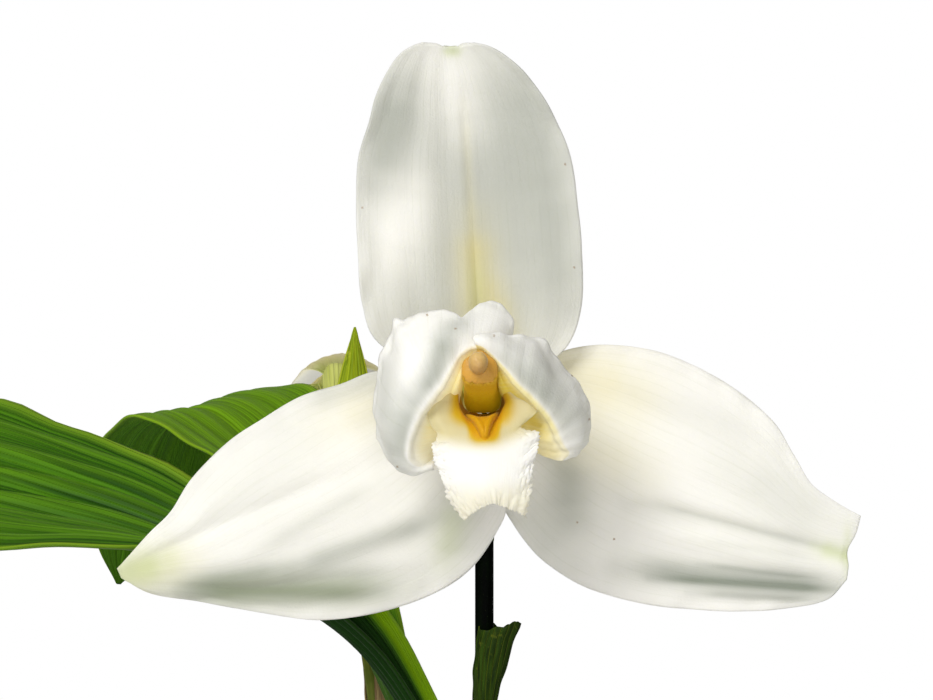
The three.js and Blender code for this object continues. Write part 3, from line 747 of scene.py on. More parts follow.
@dataclass(frozen=True)
class DryFinish(Finish):
    """Dry papery sheath: straw and brown fibres that run lengthwise, with dark stains."""

    straw: Colour = srgb(190, 162, 112)
    brown: Colour = srgb(124, 94, 56)
    stain: Colour = srgb(70, 52, 32)

    def paint(self, shader: Shader) -> bpy.types.Material:
        """Builds the material's nodes."""
        across, along, _ = shader.attribute(GRAIN)
        place = shader.place()
        fibre = shader.streaks(across, along, 24.0, 2.5, 5.0)
        clouds = shader.noise(place, 0.22, 3.0)
        colour = shader.mix(fibre.eased(0.3, 0.7), self.brown, self.straw)
        colour = shader.mix(clouds.eased(0.55, 0.7) * 0.7, colour, self.stain)
        colour = shader.mix(along.eased(0.85, 1.0) * 0.4, colour, self.stain)
        return shader.finish({
            "Base Color": colour,
            "Roughness": 0.66 + fibre * 0.2,
            "Normal": shader.bump(fibre, 0.4),
        })


@dataclass(frozen=True)
class RootFinish(Finish):
    """A root over the bark: chalky white skin with stains, green at its growing tip."""

    chalk: Colour = srgb(214, 208, 188)
    stain: Colour = srgb(150, 128, 96)
    tip: Colour = srgb(122, 146, 66)

    def paint(self, shader: Shader) -> bpy.types.Material:
        """Builds the material's nodes."""
        _, along, _ = shader.attribute(GRAIN)
        place = shader.place()
        clouds = shader.noise(place, 0.7, 4.0)
        colour = shader.mix(clouds.eased(0.45, 0.7), self.chalk, self.stain)
        colour = shader.mix(along.eased(0.9, 0.96) * 0.9, colour, self.tip)
        return shader.finish({
            "Base Color": colour,
            "Roughness": 0.7 + clouds * 0.2,
            "Normal": shader.bump(clouds, 0.3),
        })


@dataclass(frozen=True)
class BarkFinish(Finish):
    """Pine bark chips: red brown plates with dark cracks, pale fibres and a grey weathered skin."""

    dark: Colour = srgb(44, 28, 18)
    brown: Colour = srgb(104, 66, 40)
    red: Colour = srgb(136, 84, 50)
    grey: Colour = srgb(128, 116, 100)

    def paint(self, shader: Shader) -> bpy.types.Material:
        """Builds the material's nodes."""
        place = shader.place()
        tone, layer, _ = shader.attribute(GRAIN)
        clouds = shader.noise(place, 0.16, 4.0)
        grit = shader.noise(place, 1.1, 5.0)
        plates = shader.seams(place, 0.28)
        colour = shader.mix((clouds * 0.4 + tone * 0.6).eased(0.25, 0.75), self.brown, self.red)
        colour = shader.mix(grit.eased(0.52, 0.72) * 0.5, colour, self.grey)
        colour = shader.mix(layer.eased(0.55, 0.3) * 0.5, colour, self.dark)
        crack = plates.eased(0.09, 0.0)
        colour = shader.mix(crack * 0.8, colour, self.dark)
        colour = shader.mix(tone.eased(0.25, 0.0) * 0.6, colour, self.dark)
        return shader.finish({
            "Base Color": colour,
            "Roughness": 0.74 + grit * 0.2,
            "Normal": shader.bump(grit * 0.6 + (1 - crack) * 0.4, 0.9),
        })


@dataclass(frozen=True)
class ClayFinish(Finish):
    """Terracotta: warm clay with darker damp parts, chalky bloom, fine grit and turning lines."""

    clay: Colour = srgb(188, 110, 72)
    deep: Colour = srgb(158, 84, 52)
    pale: Colour = srgb(214, 160, 126)
    bloom: Colour = srgb(222, 206, 190)

    def paint(self, shader: Shader) -> bpy.types.Material:
        """Builds the material's nodes."""
        place = shader.place()
        _, _, height = shader.parts(place)
        clouds = shader.noise(place, 0.035, 5.0)
        grit = shader.noise(place, 1.4, 4.0)
        rings = shader.noise(shader.vector(0.0, 0.0, height), 0.9, 2.0)
        colour = shader.mix(clouds.eased(0.32, 0.68), self.deep, self.clay)
        colour = shader.mix(shader.noise(place, 0.3, 4.0).eased(0.5, 0.8) * 0.4, colour, self.pale)
        salt = shader.noise(place, 0.06, 6.0).eased(0.5, 0.66) * height.eased(92.0, 40.0)
        rim = height.eased(119.0, 124.5) * clouds.eased(0.4, 0.6)
        colour = shader.mix(salt.highest(rim) * 0.5, colour, self.bloom)
        colour = shader.mix(grit.eased(0.66, 0.74) * 0.35, colour, self.deep)
        return shader.finish({
            "Base Color": colour,
            "Roughness": 0.78 + grit * 0.14,
            "Normal": shader.bump(grit * 0.5 + rings * 0.5, 0.35),
        })


@dataclass(frozen=True)
class FloorFinish(Finish):
    """A plain pale studio floor, very slightly uneven."""

    pale: Colour = (0.9, 0.9, 0.9)

    def paint(self, shader: Shader) -> bpy.types.Material:
        """Builds the material's nodes."""
        return shader.finish({"Base Color": (*self.pale, 1.0), "Roughness": 0.9})


@dataclass
class Solid:
    """A closed mesh in millimetres, with two vectors at each point that its finish reads."""

    points: Array
    faces: list[tuple[int, ...]]
    grain: Array
    tint: Array

    def moved(self, offset: Sequence[float], turn: Array | None = None) -> "Solid":
        """The same solid turned and then shifted.

        Args:
            offset: The shift.
            turn: A 3 by 3 matrix that turns it, or None.

        Returns:
            The moved solid.
        """
        points = self.points if turn is None else self.points @ turn.T
        return Solid(points + np.asarray(offset, float), self.faces, self.grain, self.tint)

    def to_object(self, name: str, finish: Finish) -> bpy.types.Object:
        """Makes the Blender object.

        Args:
            name: The object's name.
            finish: What it is finished in.

        Returns:
            The object, in metres.
        """
        mesh = bpy.data.meshes.new(name)
        mesh.from_pydata((self.points * MM).tolist(), [], self.faces)
        mesh.polygons.foreach_set("use_smooth", np.ones(len(mesh.polygons), bool))
        for key, values in ((GRAIN, self.grain), (TINT, self.tint)):
            made = mesh.attributes.new(key, "FLOAT_VECTOR", "POINT")
            made.data.foreach_set("vector", np.asarray(values, np.float32).ravel())
        mesh.materials.append(finish.material())
        mesh.update()
        piece = bpy.data.objects.new(name, mesh)
        bpy.context.scene.collection.objects.link(piece)
        return piece


def merged(solids: Sequence[Solid]) -> Solid:
    """Several solids in one mesh."""
    faces: list[tuple[int, ...]] = []
    shift = 0
    for solid in solids:
        faces += [tuple(i + shift for i in face) for face in solid.faces]
        shift += len(solid.points)
    points, grain, tint = (
        np.vstack([getattr(solid, key) for solid in solids]) for key in ("points", "grain", "tint")
    )
    return Solid(points, faces, grain, tint)


def ring_faces(rings: int, sides: int) -> list[tuple[int, ...]]:
    """The faces over a stack of rings of points that is closed by a point at each end.

    Args:
        rings: How many rings there are. The points are in the order of the rings, and then come
            the end point under the first ring and the one over the last.
        sides: How many points each ring has.

    Returns:
        The faces, looking outwards where the rings run anticlockwise seen from the last one.
    """
    faces: list[tuple[int, ...]] = []
    first = rings * sides
    top = first - sides
    for j in range(sides):
        k = (j + 1) % sides
        faces += [(first, k, j), (first + 1, top + j, top + k)]
        faces += [(low + j, low + k, low + sides + k, low + sides + j) for low in range(0, top, sides)]
    return faces


def turned(angle: float, axis: int = 2) -> Array:
    """The matrix of a turn about one of the three axes.

    Args:
        angle: The turn in radians.
        axis: 0, 1 or 2 for X, Y or Z.

    Returns:
        The 3 by 3 matrix.
    """
    cos, sin = math.cos(angle), math.sin(angle)
    matrix = np.eye(3)
    first, second = (axis + 1) % 3, (axis + 2) % 3
    matrix[first, first] = matrix[second, second] = cos
    matrix[first, second], matrix[second, first] = -sin, sin
    return matrix


def ring_angles(sides: int) -> Array:
    """That many angles, evenly spread round a full turn."""
    return np.linspace(0, 2 * math.pi, sides, endpoint=False)


@dataclass
class Sheet:
    """A grid of points in millimetres. u runs along it from 0 to 1 and v across it from -1 to 1."""

    points: Array
    u: Array
    v: Array
    tint: Array = field(init=False)

    def __post_init__(self) -> None:
        """Starts with no tint."""
        self.tint = np.zeros_like(self.points)

    @staticmethod
    def grid(along: int, across: int) -> tuple[Array, Array]:
        """The coordinates u and v of a grid of that many steps."""
        return np.meshgrid(np.linspace(0, 1, along + 1), np.linspace(-1, 1, across + 1), indexing="ij")

    @classmethod
    def blade(cls, stations: Rows, along: int, across: int, keel: float = 2.0) -> "Sheet":
        """A sheet along a midrib.

        Args:
            stations: Rows of the midrib's point, the way the upper face looks, both half widths
                and how far the margins rise over the midrib.
            along: Steps along it.
            across: Steps across it.
            keel: Power of the rise: 1 is a sharp fold and 2 a round trough.

        Returns:
            The sheet.
        """
        u, v = cls.grid(along, across)
        shares = u[:, 0]
        rows = curve_through(stations, shares)
        tangent = heading(stations, shares)
        side = unit(np.cross(tangent, rows[:, 3:6]))
        up = np.cross(side, tangent)
        width = np.where(v < 0, rows[:, 6:7], rows[:, 7:8])
        lift = rows[:, 8:9] * np.abs(v) ** keel
        points = rows[:, None, :3] + side[:, None] * (v * width)[..., None] + up[:, None] * lift[..., None]
        return cls(points, u, v)

    @classmethod
    def net(cls, rows: Sequence[Rows], along: int, across: int) -> "Sheet":
        """A sheet through a net of points, smoothed both ways.

        Args:
            rows: Rows of points, with as many in each.
            along: Steps from the first row to the last.
            across: Steps along each row.

        Returns:
            The sheet.
        """
        u, v = cls.grid(along, across)
        table = np.asarray(rows, float)
        lines = curve_through(table.reshape(len(table), -1), u[:, 0])
        lines = lines.reshape(along + 1, -1, 3).transpose(1, 0, 2)
        columns = curve_through(lines.reshape(len(lines), -1), (v[0] + 1) / 2)
        return cls(columns.reshape(across + 1, along + 1, 3).transpose(1, 0, 2).copy(), u, v)

    @classmethod
    def between(cls, margins: Rows, along: int, across: int) -> "Sheet":
        """A sheet that faces the front, between two margins.

        Args:
            margins: Rows of one margin's x and z, the other margin's x and z, the y of the middle,
                and how far the margins stand forward of it.
            along: Steps from the base to the tip.
            across: Steps from the first margin to the second.

        Returns:
            The sheet.
        """
        u, v = cls.grid(along, across)
        rows = curve_through(margins, u[:, 0])[:, None, :]
        share = (v + 1) / 2
        x = rows[..., 0] * (1 - share) + rows[..., 2] * share
        z = rows[..., 1] * (1 - share) + rows[..., 3] * share
        y = rows[..., 4] - rows[..., 5] * v ** 2
        return cls(np.stack([x, y, z], axis=-1), u, v)

    def normals(self) -> Array:
        """The direction that the upper face looks at each point."""
        along = np.gradient(self.points, axis=0)
        across = np.gradient(self.points, axis=1)
        return unit(np.cross(across, along))

    def push(self, heights: Array) -> None:
        """Moves each point along its normal, by a height in millimetres."""
        self.points = self.points + self.normals() * heights[..., None]

    def advance(self, heights: Array) -> None:
        """Moves each point towards the front, by a height in millimetres."""
        self.points[..., 1] -= heights

    def solid(self, thickness: float, rim: float = 0.5) -> Solid:
        """The sheet with a thickness.

        Args:
            thickness: How thick it is in the middle.
            rim: Share of that which is left at the margins.

        Returns:
            The closed solid.
        """
        edge = np.maximum(np.abs(self.v), ease(self.u, 0.9, 1.0)) ** 6
        half = thickness / 2 * (1 - (1 - rim) * edge)
        offset = self.normals() * half[..., None]
        rows, columns = self.u.shape
        index = np.arange(rows * columns).reshape(rows, columns)
        back = rows * columns
        a, b, c, d = index[:-1, :-1], index[:-1, 1:], index[1:, 1:], index[1:, :-1]
        top = np.stack([a, b, c, d], axis=-1).reshape(-1, 4)
        faces = [tuple(face) for face in top.tolist()]
        faces += [tuple(face) for face in (top[:, ::-1] + back).tolist()]
        border = np.concatenate([index[0, :-1], index[:-1, -1], index[-1, :0:-1], index[:0:-1, 0]]).tolist()
        for p, q in zip(border, border[1:] + border[:1]):
            faces.append((q, p, back + p, back + q))
        points = np.vstack([(self.points + offset).reshape(-1, 3), (self.points - offset).reshape(-1, 3)])
        ones = np.ones(self.u.size)
        flat = (self.v.ravel(), self.u.ravel())
        grain = np.vstack([np.column_stack([*flat, ones]), np.column_stack([*flat, -ones])])
        tint = np.tile(self.tint.reshape(-1, 3), (2, 1))
        return Solid(points, faces, grain, tint)


def stalk(
    stations: Rows,
    along: int,
    sides: int,
    shape: Callable[[Array, Array], Array] | None = None,
) -> Solid:
    """A round stalk of changing radius.

    Args:
        stations: Rows of point and radius.
        along: Steps along it.
        sides: Sides of its section.
        shape: Gives the share of the radius at each share of the length and each angle.

    Returns:
        The closed solid. Its grain is the angle from -1 to 1 and the share of the length.
    """
    shares = np.linspace(0, 1, along + 1)
    rows = curve_through(stations, shares)
    centres, radii = rows[:, :3], rows[:, 3]
    tangents = unit(np.gradient(centres, axis=0))
    start = np.array([1.0, 0.0, 0.0]) if abs(tangents[0, 0]) < 0.9 else np.array([0.0, 0.0, 1.0])
    normal = unit(start - tangents[0] * (start @ tangents[0]))
    angles = ring_angles(sides)
    u, angle = np.meshgrid(shares, angles, indexing="ij")
    share = np.ones_like(u) if shape is None else shape(u, angle)
    rings = []
    for centre, tangent, radius, widths in zip(centres, tangents, radii, share):
        normal = unit(normal - tangent * (normal @ tangent))
        other = np.cross(tangent, normal)
        ring = np.outer(np.cos(angles), normal) + np.outer(np.sin(angles), other)
        rings.append(centre + ring * (radius * widths)[:, None])
    points = np.vstack([*rings, centres[:1], centres[-1:]])
    turn = np.abs(angle / math.pi - 1)
    grain = np.column_stack([turn.ravel(), u.ravel(), np.ones(u.size)])
    grain = np.vstack([grain, [[0, 0, 1], [0, 1, 1]]])
    return Solid(points, ring_faces(along + 1, sides), grain, np.zeros_like(points))


def show(solid: Solid, node: str, finish: Finish) -> bpy.types.Object:
    """Makes a piece that stands for a CAD node.

    Args:
        solid: Its shape in the model's frame.
        node: The node it replaces.
        finish: What it is finished in.

    Returns:
        The piece.
    """
    piece = solid.to_object(node + "_shaped", finish)
    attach(piece, BODY)
    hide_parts(node)
    log.info("%s: %d faces in %s", piece.name, len(solid.faces), finish.name)
    return piece


def lathe(profile: Array, sides: int, grain: Colour = (0.0, 0.0, 0.0)) -> Solid:
    """A solid of revolution about the Z axis.

    Args:
        profile: Rows of radius and height, from the axis and back to it.
        sides: How many sides it has.
        grain: The vector that its finish reads, the same all over.

    Returns:
        The closed solid.
    """
    angles = ring_angles(sides)
    inner = profile[1:-1]
    rings = [np.column_stack([r * np.cos(angles), r * np.sin(angles), np.full(sides, z)]) for r, z in inner]
    points = np.vstack([*rings, [[0.0, 0.0, profile[0][1]], [0.0, 0.0, profile[-1][1]]]])
    faces = ring_faces(len(inner), sides)
    return Solid(points, faces, np.tile(grain, (len(points), 1)), np.zeros_like(points))


def stepped(profile: Sequence[tuple[float, float]], step: float) -> Array:
    """A profile with extra points on its long stretches and eased corners.

    Args:
        profile: Rows of radius and height.
        step: The longest stretch that is left.

    Returns:
        The finer profile, with the same ends.
    """
    finer = [np.asarray(profile[0], float)]
    for a, b in zip(profile[:-1], profile[1:]):
        start, end = np.asarray(a, float), np.asarray(b, float)
        count = max(2, math.ceil(np.linalg.norm(end - start) / step))
        finer += [start + (end - start) * (i + 1) / count for i in range(count)]
    table = np.array(finer)
    table[1:-1] = table[1:-1] * 0.5 + (table[:-2] + table[2:]) * 0.25
    return table


@dataclass
class Pot:
    """The clay pot: tapered body, plain rim band, and four drain holes in its floor."""

    height: float = 125.0
    base_radius: float = 47.5
    rim_radius: float = 73.0
    wall: float = 6.0
    floor: float = 7.0
    band_height: float = 28.0
    band_depth: float = 3.5
    slope: float = 0.189
    edge: float = 1.5
    drain_radius: float = 5.5
    drain_ring: float = 28.0
    drain_count: int = 4
    drain_sides: int = 32
    sides: int = 120
    step: float = 2.2

    def inner_radius(self, height: float) -> float:
        """The radius of the inner wall at a height."""
        return self.base_radius - self.wall + self.slope * height

    def profile(self) -> Array:
        """The section of the pot, from the axis under the floor to the axis above it."""
        foot = self.height - self.band_height
        body = self.base_radius + self.slope * foot
        top, edge = self.height, self.edge
        inside = self.inner_radius(self.floor)
        return stepped([
            (0, 0), (self.base_radius - edge, 0), (self.base_radius, edge),
            (body, foot), (body + self.band_depth, foot + edge),
            (self.rim_radius, top - edge), (self.rim_radius - edge, top),
            (self.inner_radius(top) + edge, top), (self.inner_radius(top), top - edge),
            (inside, self.floor + 2), (inside - 2, self.floor), (0, self.floor),
        ], self.step)

    def drains(self) -> bpy.types.Object:
        """The drain holes as one object for cutting."""
        radius, low, high = self.drain_radius, -self.floor, 2 * self.floor
        rod = lathe(np.array([(0, low), (radius, low), (radius, high), (0, high)]), self.drain_sides)
        rods = []
        for i in range(self.drain_count):
            angle = 2 * math.pi * (i + 0.5) / self.drain_count
            rods.append(rod.moved((self.drain_ring * math.cos(angle), self.drain_ring * math.sin(angle), 0)))
        return merged(rods).to_object("drain_cutter", ClayFinish("clay"))

    def build(self) -> None:
        """Makes the pot and cuts its drain holes."""
        solid = lathe(self.profile(), self.sides)
        points = solid.points
        outward = unit(points * (1, 1, 0))
        wobble = ripple(points, 46.0, 11) * 0.25 + ripple(points, 7.0, 12) * 0.06
        worn = ease(ripple(points, 9.0, 13), 0.75, 1.1) * ease(points[:, 2], self.height - 3, self.height)
        solid.points = points + outward * (wobble * ease(points[:, 2], 0.0, 4.0))[:, None]
        solid.points[:, 2] -= worn * 0.9
        piece = show(solid, "pot", ClayFinish("clay"))
        cutter = self.drains()
        cut = piece.modifiers.new("drains", "BOOLEAN")
        cut.operation = "DIFFERENCE"
        cut.solver = "EXACT"
        cut.object = cutter
        graph = bpy.context.evaluated_depsgraph_get()
        whole = piece.data
        piece.data = bpy.data.meshes.new_from_object(piece.evaluated_get(graph))
        piece.modifiers.clear()
        bpy.data.objects.remove(cutter)
        bpy.data.meshes.remove(whole)


@dataclass
class BarkBed:
    """The bark in the pot: one bed topped with many small chips, and nine loose chips on it."""

    pot: Pot
    chip_count: int = 460
    chip_sides: int = 9
    loose_sides: int = 40
    bed_sides: int = 96
    bed_step: float = 6.0
    # How far the bed under the chips lies below their tops, and its room inside the pot's wall.
    sunk: float = 2.5
    room: float = GAP + 0.1
    seed: int = 5
    # Place, turn in degrees, length, width and height of each loose chip.
    loose: tuple[tuple[float, ...], ...] = (
        (-8, -34, 20, 17, 11, 6),
        (14, -33, -35, 15, 12, 5),
        (-34, -18, 70, 18, 10, 7),
        (48, -22, 10, 13, 11, 6),
        (-50, -6, -20, 13, 10, 5),
        (-30, 42, 40, 16, 12, 7),
        (14, 46, -15, 18, 11, 6),
        (40, 38, 50, 12, 9, 5),
        (2, -50, -60, 13, 9, 5),
    )
    # Share of the outline's size and of the height, from the underside to the top.
    plates: tuple[tuple[float, float], ...] = (
        (0.84, 0.0), (0.98, 0.1), (1.0, 0.3), (0.93, 0.36), (0.95, 0.6),
        (0.87, 0.66), (0.85, 0.88), (0.72, 0.98), (0.4, 1.0),
    )

    def chip(self, length: float, width: float, height: float, seed: int, sides: int) -> Solid:
        """One chip of bark, in layered plates with a broken outline.

        Args:
            length: Its length.
            width: Its width.
            height: Its height.
            seed: Number that picks its outline.
            sides: How many points its outline has.

        Returns:
            The chip, resting on the origin.
        """
        rng = np.random.default_rng(seed)
        angles = ring_angles(sides)
        box = 1 / np.maximum(np.abs(np.cos(angles)), np.abs(np.sin(angles)))
        reach = np.minimum(box, 1.28) * rng.uniform(0.8, 1.04, sides)
        outline = np.column_stack([np.cos(angles) * length / 2, np.sin(angles) * width / 2]) * reach[:, None]
        rings = []
        for scale, level in self.plates:
            jitter = rng.normal(scale=0.02, size=(sides, 1))
            ring = outline * (scale + jitter)
            lift = height * level + rng.normal(scale=0.02 * height, size=sides)
            rings.append(np.column_stack([ring, np.clip(lift, 0, height)]))
        points = np.vstack([*rings, [[0, 0, 0.02 * height], [0, 0, height]]])
        tone = rng.uniform()
        levels = np.append(np.repeat([level for _, level in self.plates], sides), (0.0, 1.0))
        grain = np.column_stack([np.full(len(points), tone), levels, np.zeros(len(points))])
        return Solid(points, ring_faces(len(self.plates), sides), grain, np.zeros_like(points))

    def top_layer(self) -> list[Solid]:
        """The small chips that make up the bed's surface."""
        rng = np.random.default_rng(self.seed)
        reach = self.pot.inner_radius(BARK_TOP) - 6.5
        layer: list[Solid] = []
        for i in range(self.chip_count):
            radius = reach * math.sqrt((i + 0.5) / self.chip_count)
            angle = i * math.pi * (3 - math.sqrt(5)) + rng.uniform(-0.2, 0.2)
            size = rng.uniform(6.5, 11.5), rng.uniform(4.5, 7.5), rng.uniform(2.4, 4.2)
            turn, tilt = rng.uniform(0, 2 * math.pi), rng.uniform(-0.22, 0.22)
            spin = turned(turn) @ turned(tilt, axis=0)
            height = BARK_TOP - size[2] + rng.uniform(-0.6, 1.5)
            spot = (radius * math.cos(angle), radius * math.sin(angle), height)
            layer.append(self.chip(*size, self.seed + i, self.chip_sides).moved(spot, spin))
        return layer

    def build(self) -> None:
        """Makes the bed and the loose chips."""
        finish = BarkFinish("bark")
        foot, top = self.pot.floor + GAP, BARK_TOP - self.sunk
        base = self.pot.inner_radius(self.pot.floor)
        bed = lathe(stepped([
            (0, foot), (base - 2.5, foot), (base - self.room, foot + 2.5),
            (self.pot.inner_radius(BARK_TOP) - self.room, top), (0, top),
        ], self.bed_step), self.bed_sides, (0.12, 0.4, 0.0))
        show(merged([bed, *self.top_layer()]), "potting_bark", finish)
        for i, (x, y, turn, length, width, height) in enumerate(self.loose):
            chip = self.chip(length, width, height, 70 + i, self.loose_sides)
            rough = ripple(chip.points, 4.0, 30 + i) * 0.35 + ripple(chip.points, 1.6, 50 + i) * 0.12
            chip.points += unit(chip.points - (0, 0, height / 2)) * rough[:, None]
            chip.points[:, 2] = np.maximum(chip.points[:, 2], 0)
            chip = chip.moved((x, y, BARK_TOP + GAP), turned(math.radians(turn)))
            show(chip, f"bark_chip_{i + 1}", finish)


@dataclass(frozen=True)
class Bulb:
    """The place and the half sizes of one ribbed bulb."""

    x: float
    y: float
    width: float
    depth: float
    height: float


@dataclass
class Bulbs:
    """The four bulbs on their creeping stem, their dry sheaths and the roots over the bark."""

    bulbs: tuple[Bulb, ...] = (
        Bulb(9, 10, 13.5, 20, 80),
        Bulb(38, 16, 13.5, 20, 76),
        Bulb(-18, 14, 12.5, 18, 68),
        Bulb(-42, 17, 10.5, 15, 58),
    )
    ribs: int = 7
    rib_depth: float = 0.06
    # Share of the width at even steps from the foot to the top.
    outline: tuple[float, ...] = (0.5, 0.72, 0.88, 0.97, 1, 0.98, 0.91, 0.8, 0.65, 0.5, 0.36)
    levels: int = 56
    sides: int = 98
    # Number of the bulb, middle angle, half spread and height share of each sheath.
    sheaths: tuple[tuple[int, float, float, float], ...] = (
        (0, -math.pi / 2 + 0.5, 0.62, 0.42),
        (0, math.pi / 2 - 0.2, 0.8, 0.5),
        (1, -math.pi / 2, 0.9, 0.45),
        (1, math.pi / 2 - 0.1, 0.8, 0.38),
    )
    sheath_steps: tuple[int, int] = (46, 54)
    sheath_thickness: float = 0.5
    # Steps along a stalk and round it.
    rhizome_steps: tuple[int, int] = (150, 28)
    root_steps: tuple[int, int] = (100, 18)
    root_radius: float = 1.3
    root_seed: int = 60
    bulb_seed: int = 20
    sheath_seed: int = 40
    roots: tuple[tuple[tuple[float, float], ...], ...] = (
        ((-24, -3), (-27, -22), (-22, -42), (-12, -57)),
        ((30, 2), (33, -16), (27, -50)),
        ((-40, 34), (-48, 28), (-57, 14)),
        ((28, 31), (29, 42), (24, 55)),
    )
    rhizome: tuple[tuple[float, float, float], ...] = (
        (-48, 18, -0.8), (-30, 15, 0), (-5, 12, 0), (22, 14, 0), (46, 17, -0.8),
    )

    def skin(self, bulb: Bulb, angle: Array, height: Array, grow: float = 0.0) -> Array:
        """Points on a bulb's ribbed skin.

        Args:
            bulb: The bulb.
            angle: Angles round it.
            height: Shares of its height.
            grow: How far the points are pushed out.

        Returns:
            The points.
        """
        rows = [(share,) for share in self.outline]
        share = curve_through(rows, np.clip(height.ravel(), 0, 1))[:, 0].reshape(height.shape)
        rib = 1 - self.rib_depth * np.abs(np.sin(self.ribs * angle)) ** 1.4
        return np.stack([
            bulb.x + (bulb.width * share * rib + grow) * np.cos(angle),
            bulb.y + (bulb.depth * share * rib + grow) * np.sin(angle),
            BULB_FOOT + bulb.height * height,
        ], axis=-1)

    def bulb_solid(self, bulb: Bulb, seed: int) -> Solid:
        """One bulb with wrinkles between its ribs and a rounded top.

        Args:
            bulb: The bulb.
            seed: Number that picks its wrinkles.

        Returns:
            The closed solid.
        """
        levels, sides = self.levels, self.sides
        height, angle = np.meshgrid(np.linspace(0, 1, levels + 1), ring_angles(sides), indexing="ij")
        points = self.skin(bulb, angle, height)
        middle = np.array([bulb.x, bulb.y, 0.0])
        outward = unit((points - middle) * (1, 1, 0))
        wrinkle = ripple(points * (1, 1, 0.12), 5.0, seed) * 0.22 + ripple(points, 18.0, seed + 1) * 0.35
        ring = bell(height, 0.34, 0.012) + bell(height, 0.68, 0.012)
        points = points + outward * (wrinkle * ease(height, 0.0, 0.06) - ring * 0.3)[..., None]
        top = points[-1] * (0.55, 0.55, 1) + middle * (0.45, 0.45, 0) + (0, 0, 0.9)
        ends = np.array([[bulb.x, bulb.y, BULB_FOOT], [bulb.x, bulb.y, BULB_FOOT + bulb.height + 1.1]])
        table = np.vstack([points.reshape(-1, 3), top, ends])
        rib = 1 - np.abs(np.sin(self.ribs * angle))
        turn = np.abs(np.concatenate([angle.ravel(), ring_angles(sides), (0.0, 0.0)]) / math.pi - 1)
        along = np.concatenate([height.ravel(), np.ones(sides), (0.0, 1.0)])
        grain = np.column_stack([turn, along, np.ones(len(table))])
        tint = np.zeros_like(table)
        tint[:, 0] = np.concatenate([rib.ravel(), np.zeros(sides + 2)])
        return Solid(table, ring_faces(levels + 2, sides), grain, tint)

    def sheath(self, bulb: Bulb, middle: float, spread: float, tall: float, seed: int) -> Solid:
        """A dry sheath that hugs a bulb.

        Args:
            bulb: The bulb.
            middle: The angle of its middle.
            spread: Half the angle that it covers at its foot.
            tall: Share of the bulb's height that it reaches.
            seed: Number that picks its tears.

        Returns:
            The closed solid.
        """
        u, v = Sheet.grid(*self.sheath_steps)
        frayed = ripple(np.stack([v * 9, u * 0.6, v * 0], axis=-1), 1.3, seed) * 0.06 * ease(u, 0.5, 1.0)
        height = 0.01 + tall * u * (1 - 0.45 * v * v) * (1 + frayed)
        angle = middle + v * spread * (1 - 0.35 * u)
        sheet = Sheet(self.skin(bulb, angle, height, 1.1), u, v)
        crumple = ripple(sheet.points * (1, 1, 0.25), 4.0, seed + 1) * 0.3
        curl = ease(np.abs(v), 0.8, 1.0) * 0.7 + ease(u, 0.85, 1.0) * 0.9
        sheet.push(crumple + curl)
        return sheet.solid(self.sheath_thickness)

    def build(self) -> None:
        """Makes the creeping stem, the bulbs, their sheaths and the roots."""
        stations = [(x, y, RHIZOME_HEIGHT, RHIZOME_RADIUS + more) for x, y, more in self.rhizome]

        def scales(u: Array, angle: Array) -> Array:
            """The overlapping scales on the creeping stem."""
            step = (u * 22 + 0.12 * np.sin(angle * 2)) % 1
            return 1 - 0.1 * step ** 3 + 0.02 * np.sin(angle * 5)

        stem = StemFinish("creeping_stem", dark=srgb(70, 58, 34), light=srgb(112, 110, 56))
        show(stalk(stations, *self.rhizome_steps, scales), "rhizome", stem)
        for i, bulb in enumerate(self.bulbs):
            solid = self.bulb_solid(bulb, self.bulb_seed + 3 * i)
            show(solid, f"pseudobulb_{i + 1}", BulbFinish("bulb_skin"))
        for i, (number, middle, spread, tall) in enumerate(self.sheaths):
            sheath = self.sheath(self.bulbs[number], middle, spread, tall, self.sheath_seed + 2 * i)
            show(sheath, f"bulb_sheath_{i + 1}", DryFinish("dry_sheath"))
        height = BARK_TOP + GAP + self.root_radius
        for i, route in enumerate(self.roots):
            rows = [(x, y, height, self.root_radius) for x, y in route]

            def knots(u: Array, angle: Array, seed: int = self.root_seed + i) -> Array:
                """The uneven thickness of a root, with a blunt tip."""
                spots = np.stack([u * 60, np.cos(angle) * 3, np.sin(angle) * 3], axis=-1)
                return (1 + 0.07 * ripple(spots, 6.0, seed)) * (1 - ease(u, 0.97, 1.0) * 0.6)

            root = stalk(rows, *self.root_steps, knots)
            show(root, f"root_{i + 1}", RootFinish("root_skin"))


@dataclass(frozen=True)
class Leaf:
    """One leaf: its stations, its pleats and the parts of its halves that take painted shade and painted
    light.
    """

    stations: Rows
    pleats: float = 9.0
    pleat_height: float = 1.15
    steps: tuple[int, int] = (92, 66)
    # Painted light and shade: shares of the length between which it is painted, how much in the near
    # and the far part (below 0 painted shade, above 0 painted light), and the place across where these meet.
    painted_light_shade: tuple[tuple[float, float, float, float, float], ...] = ()


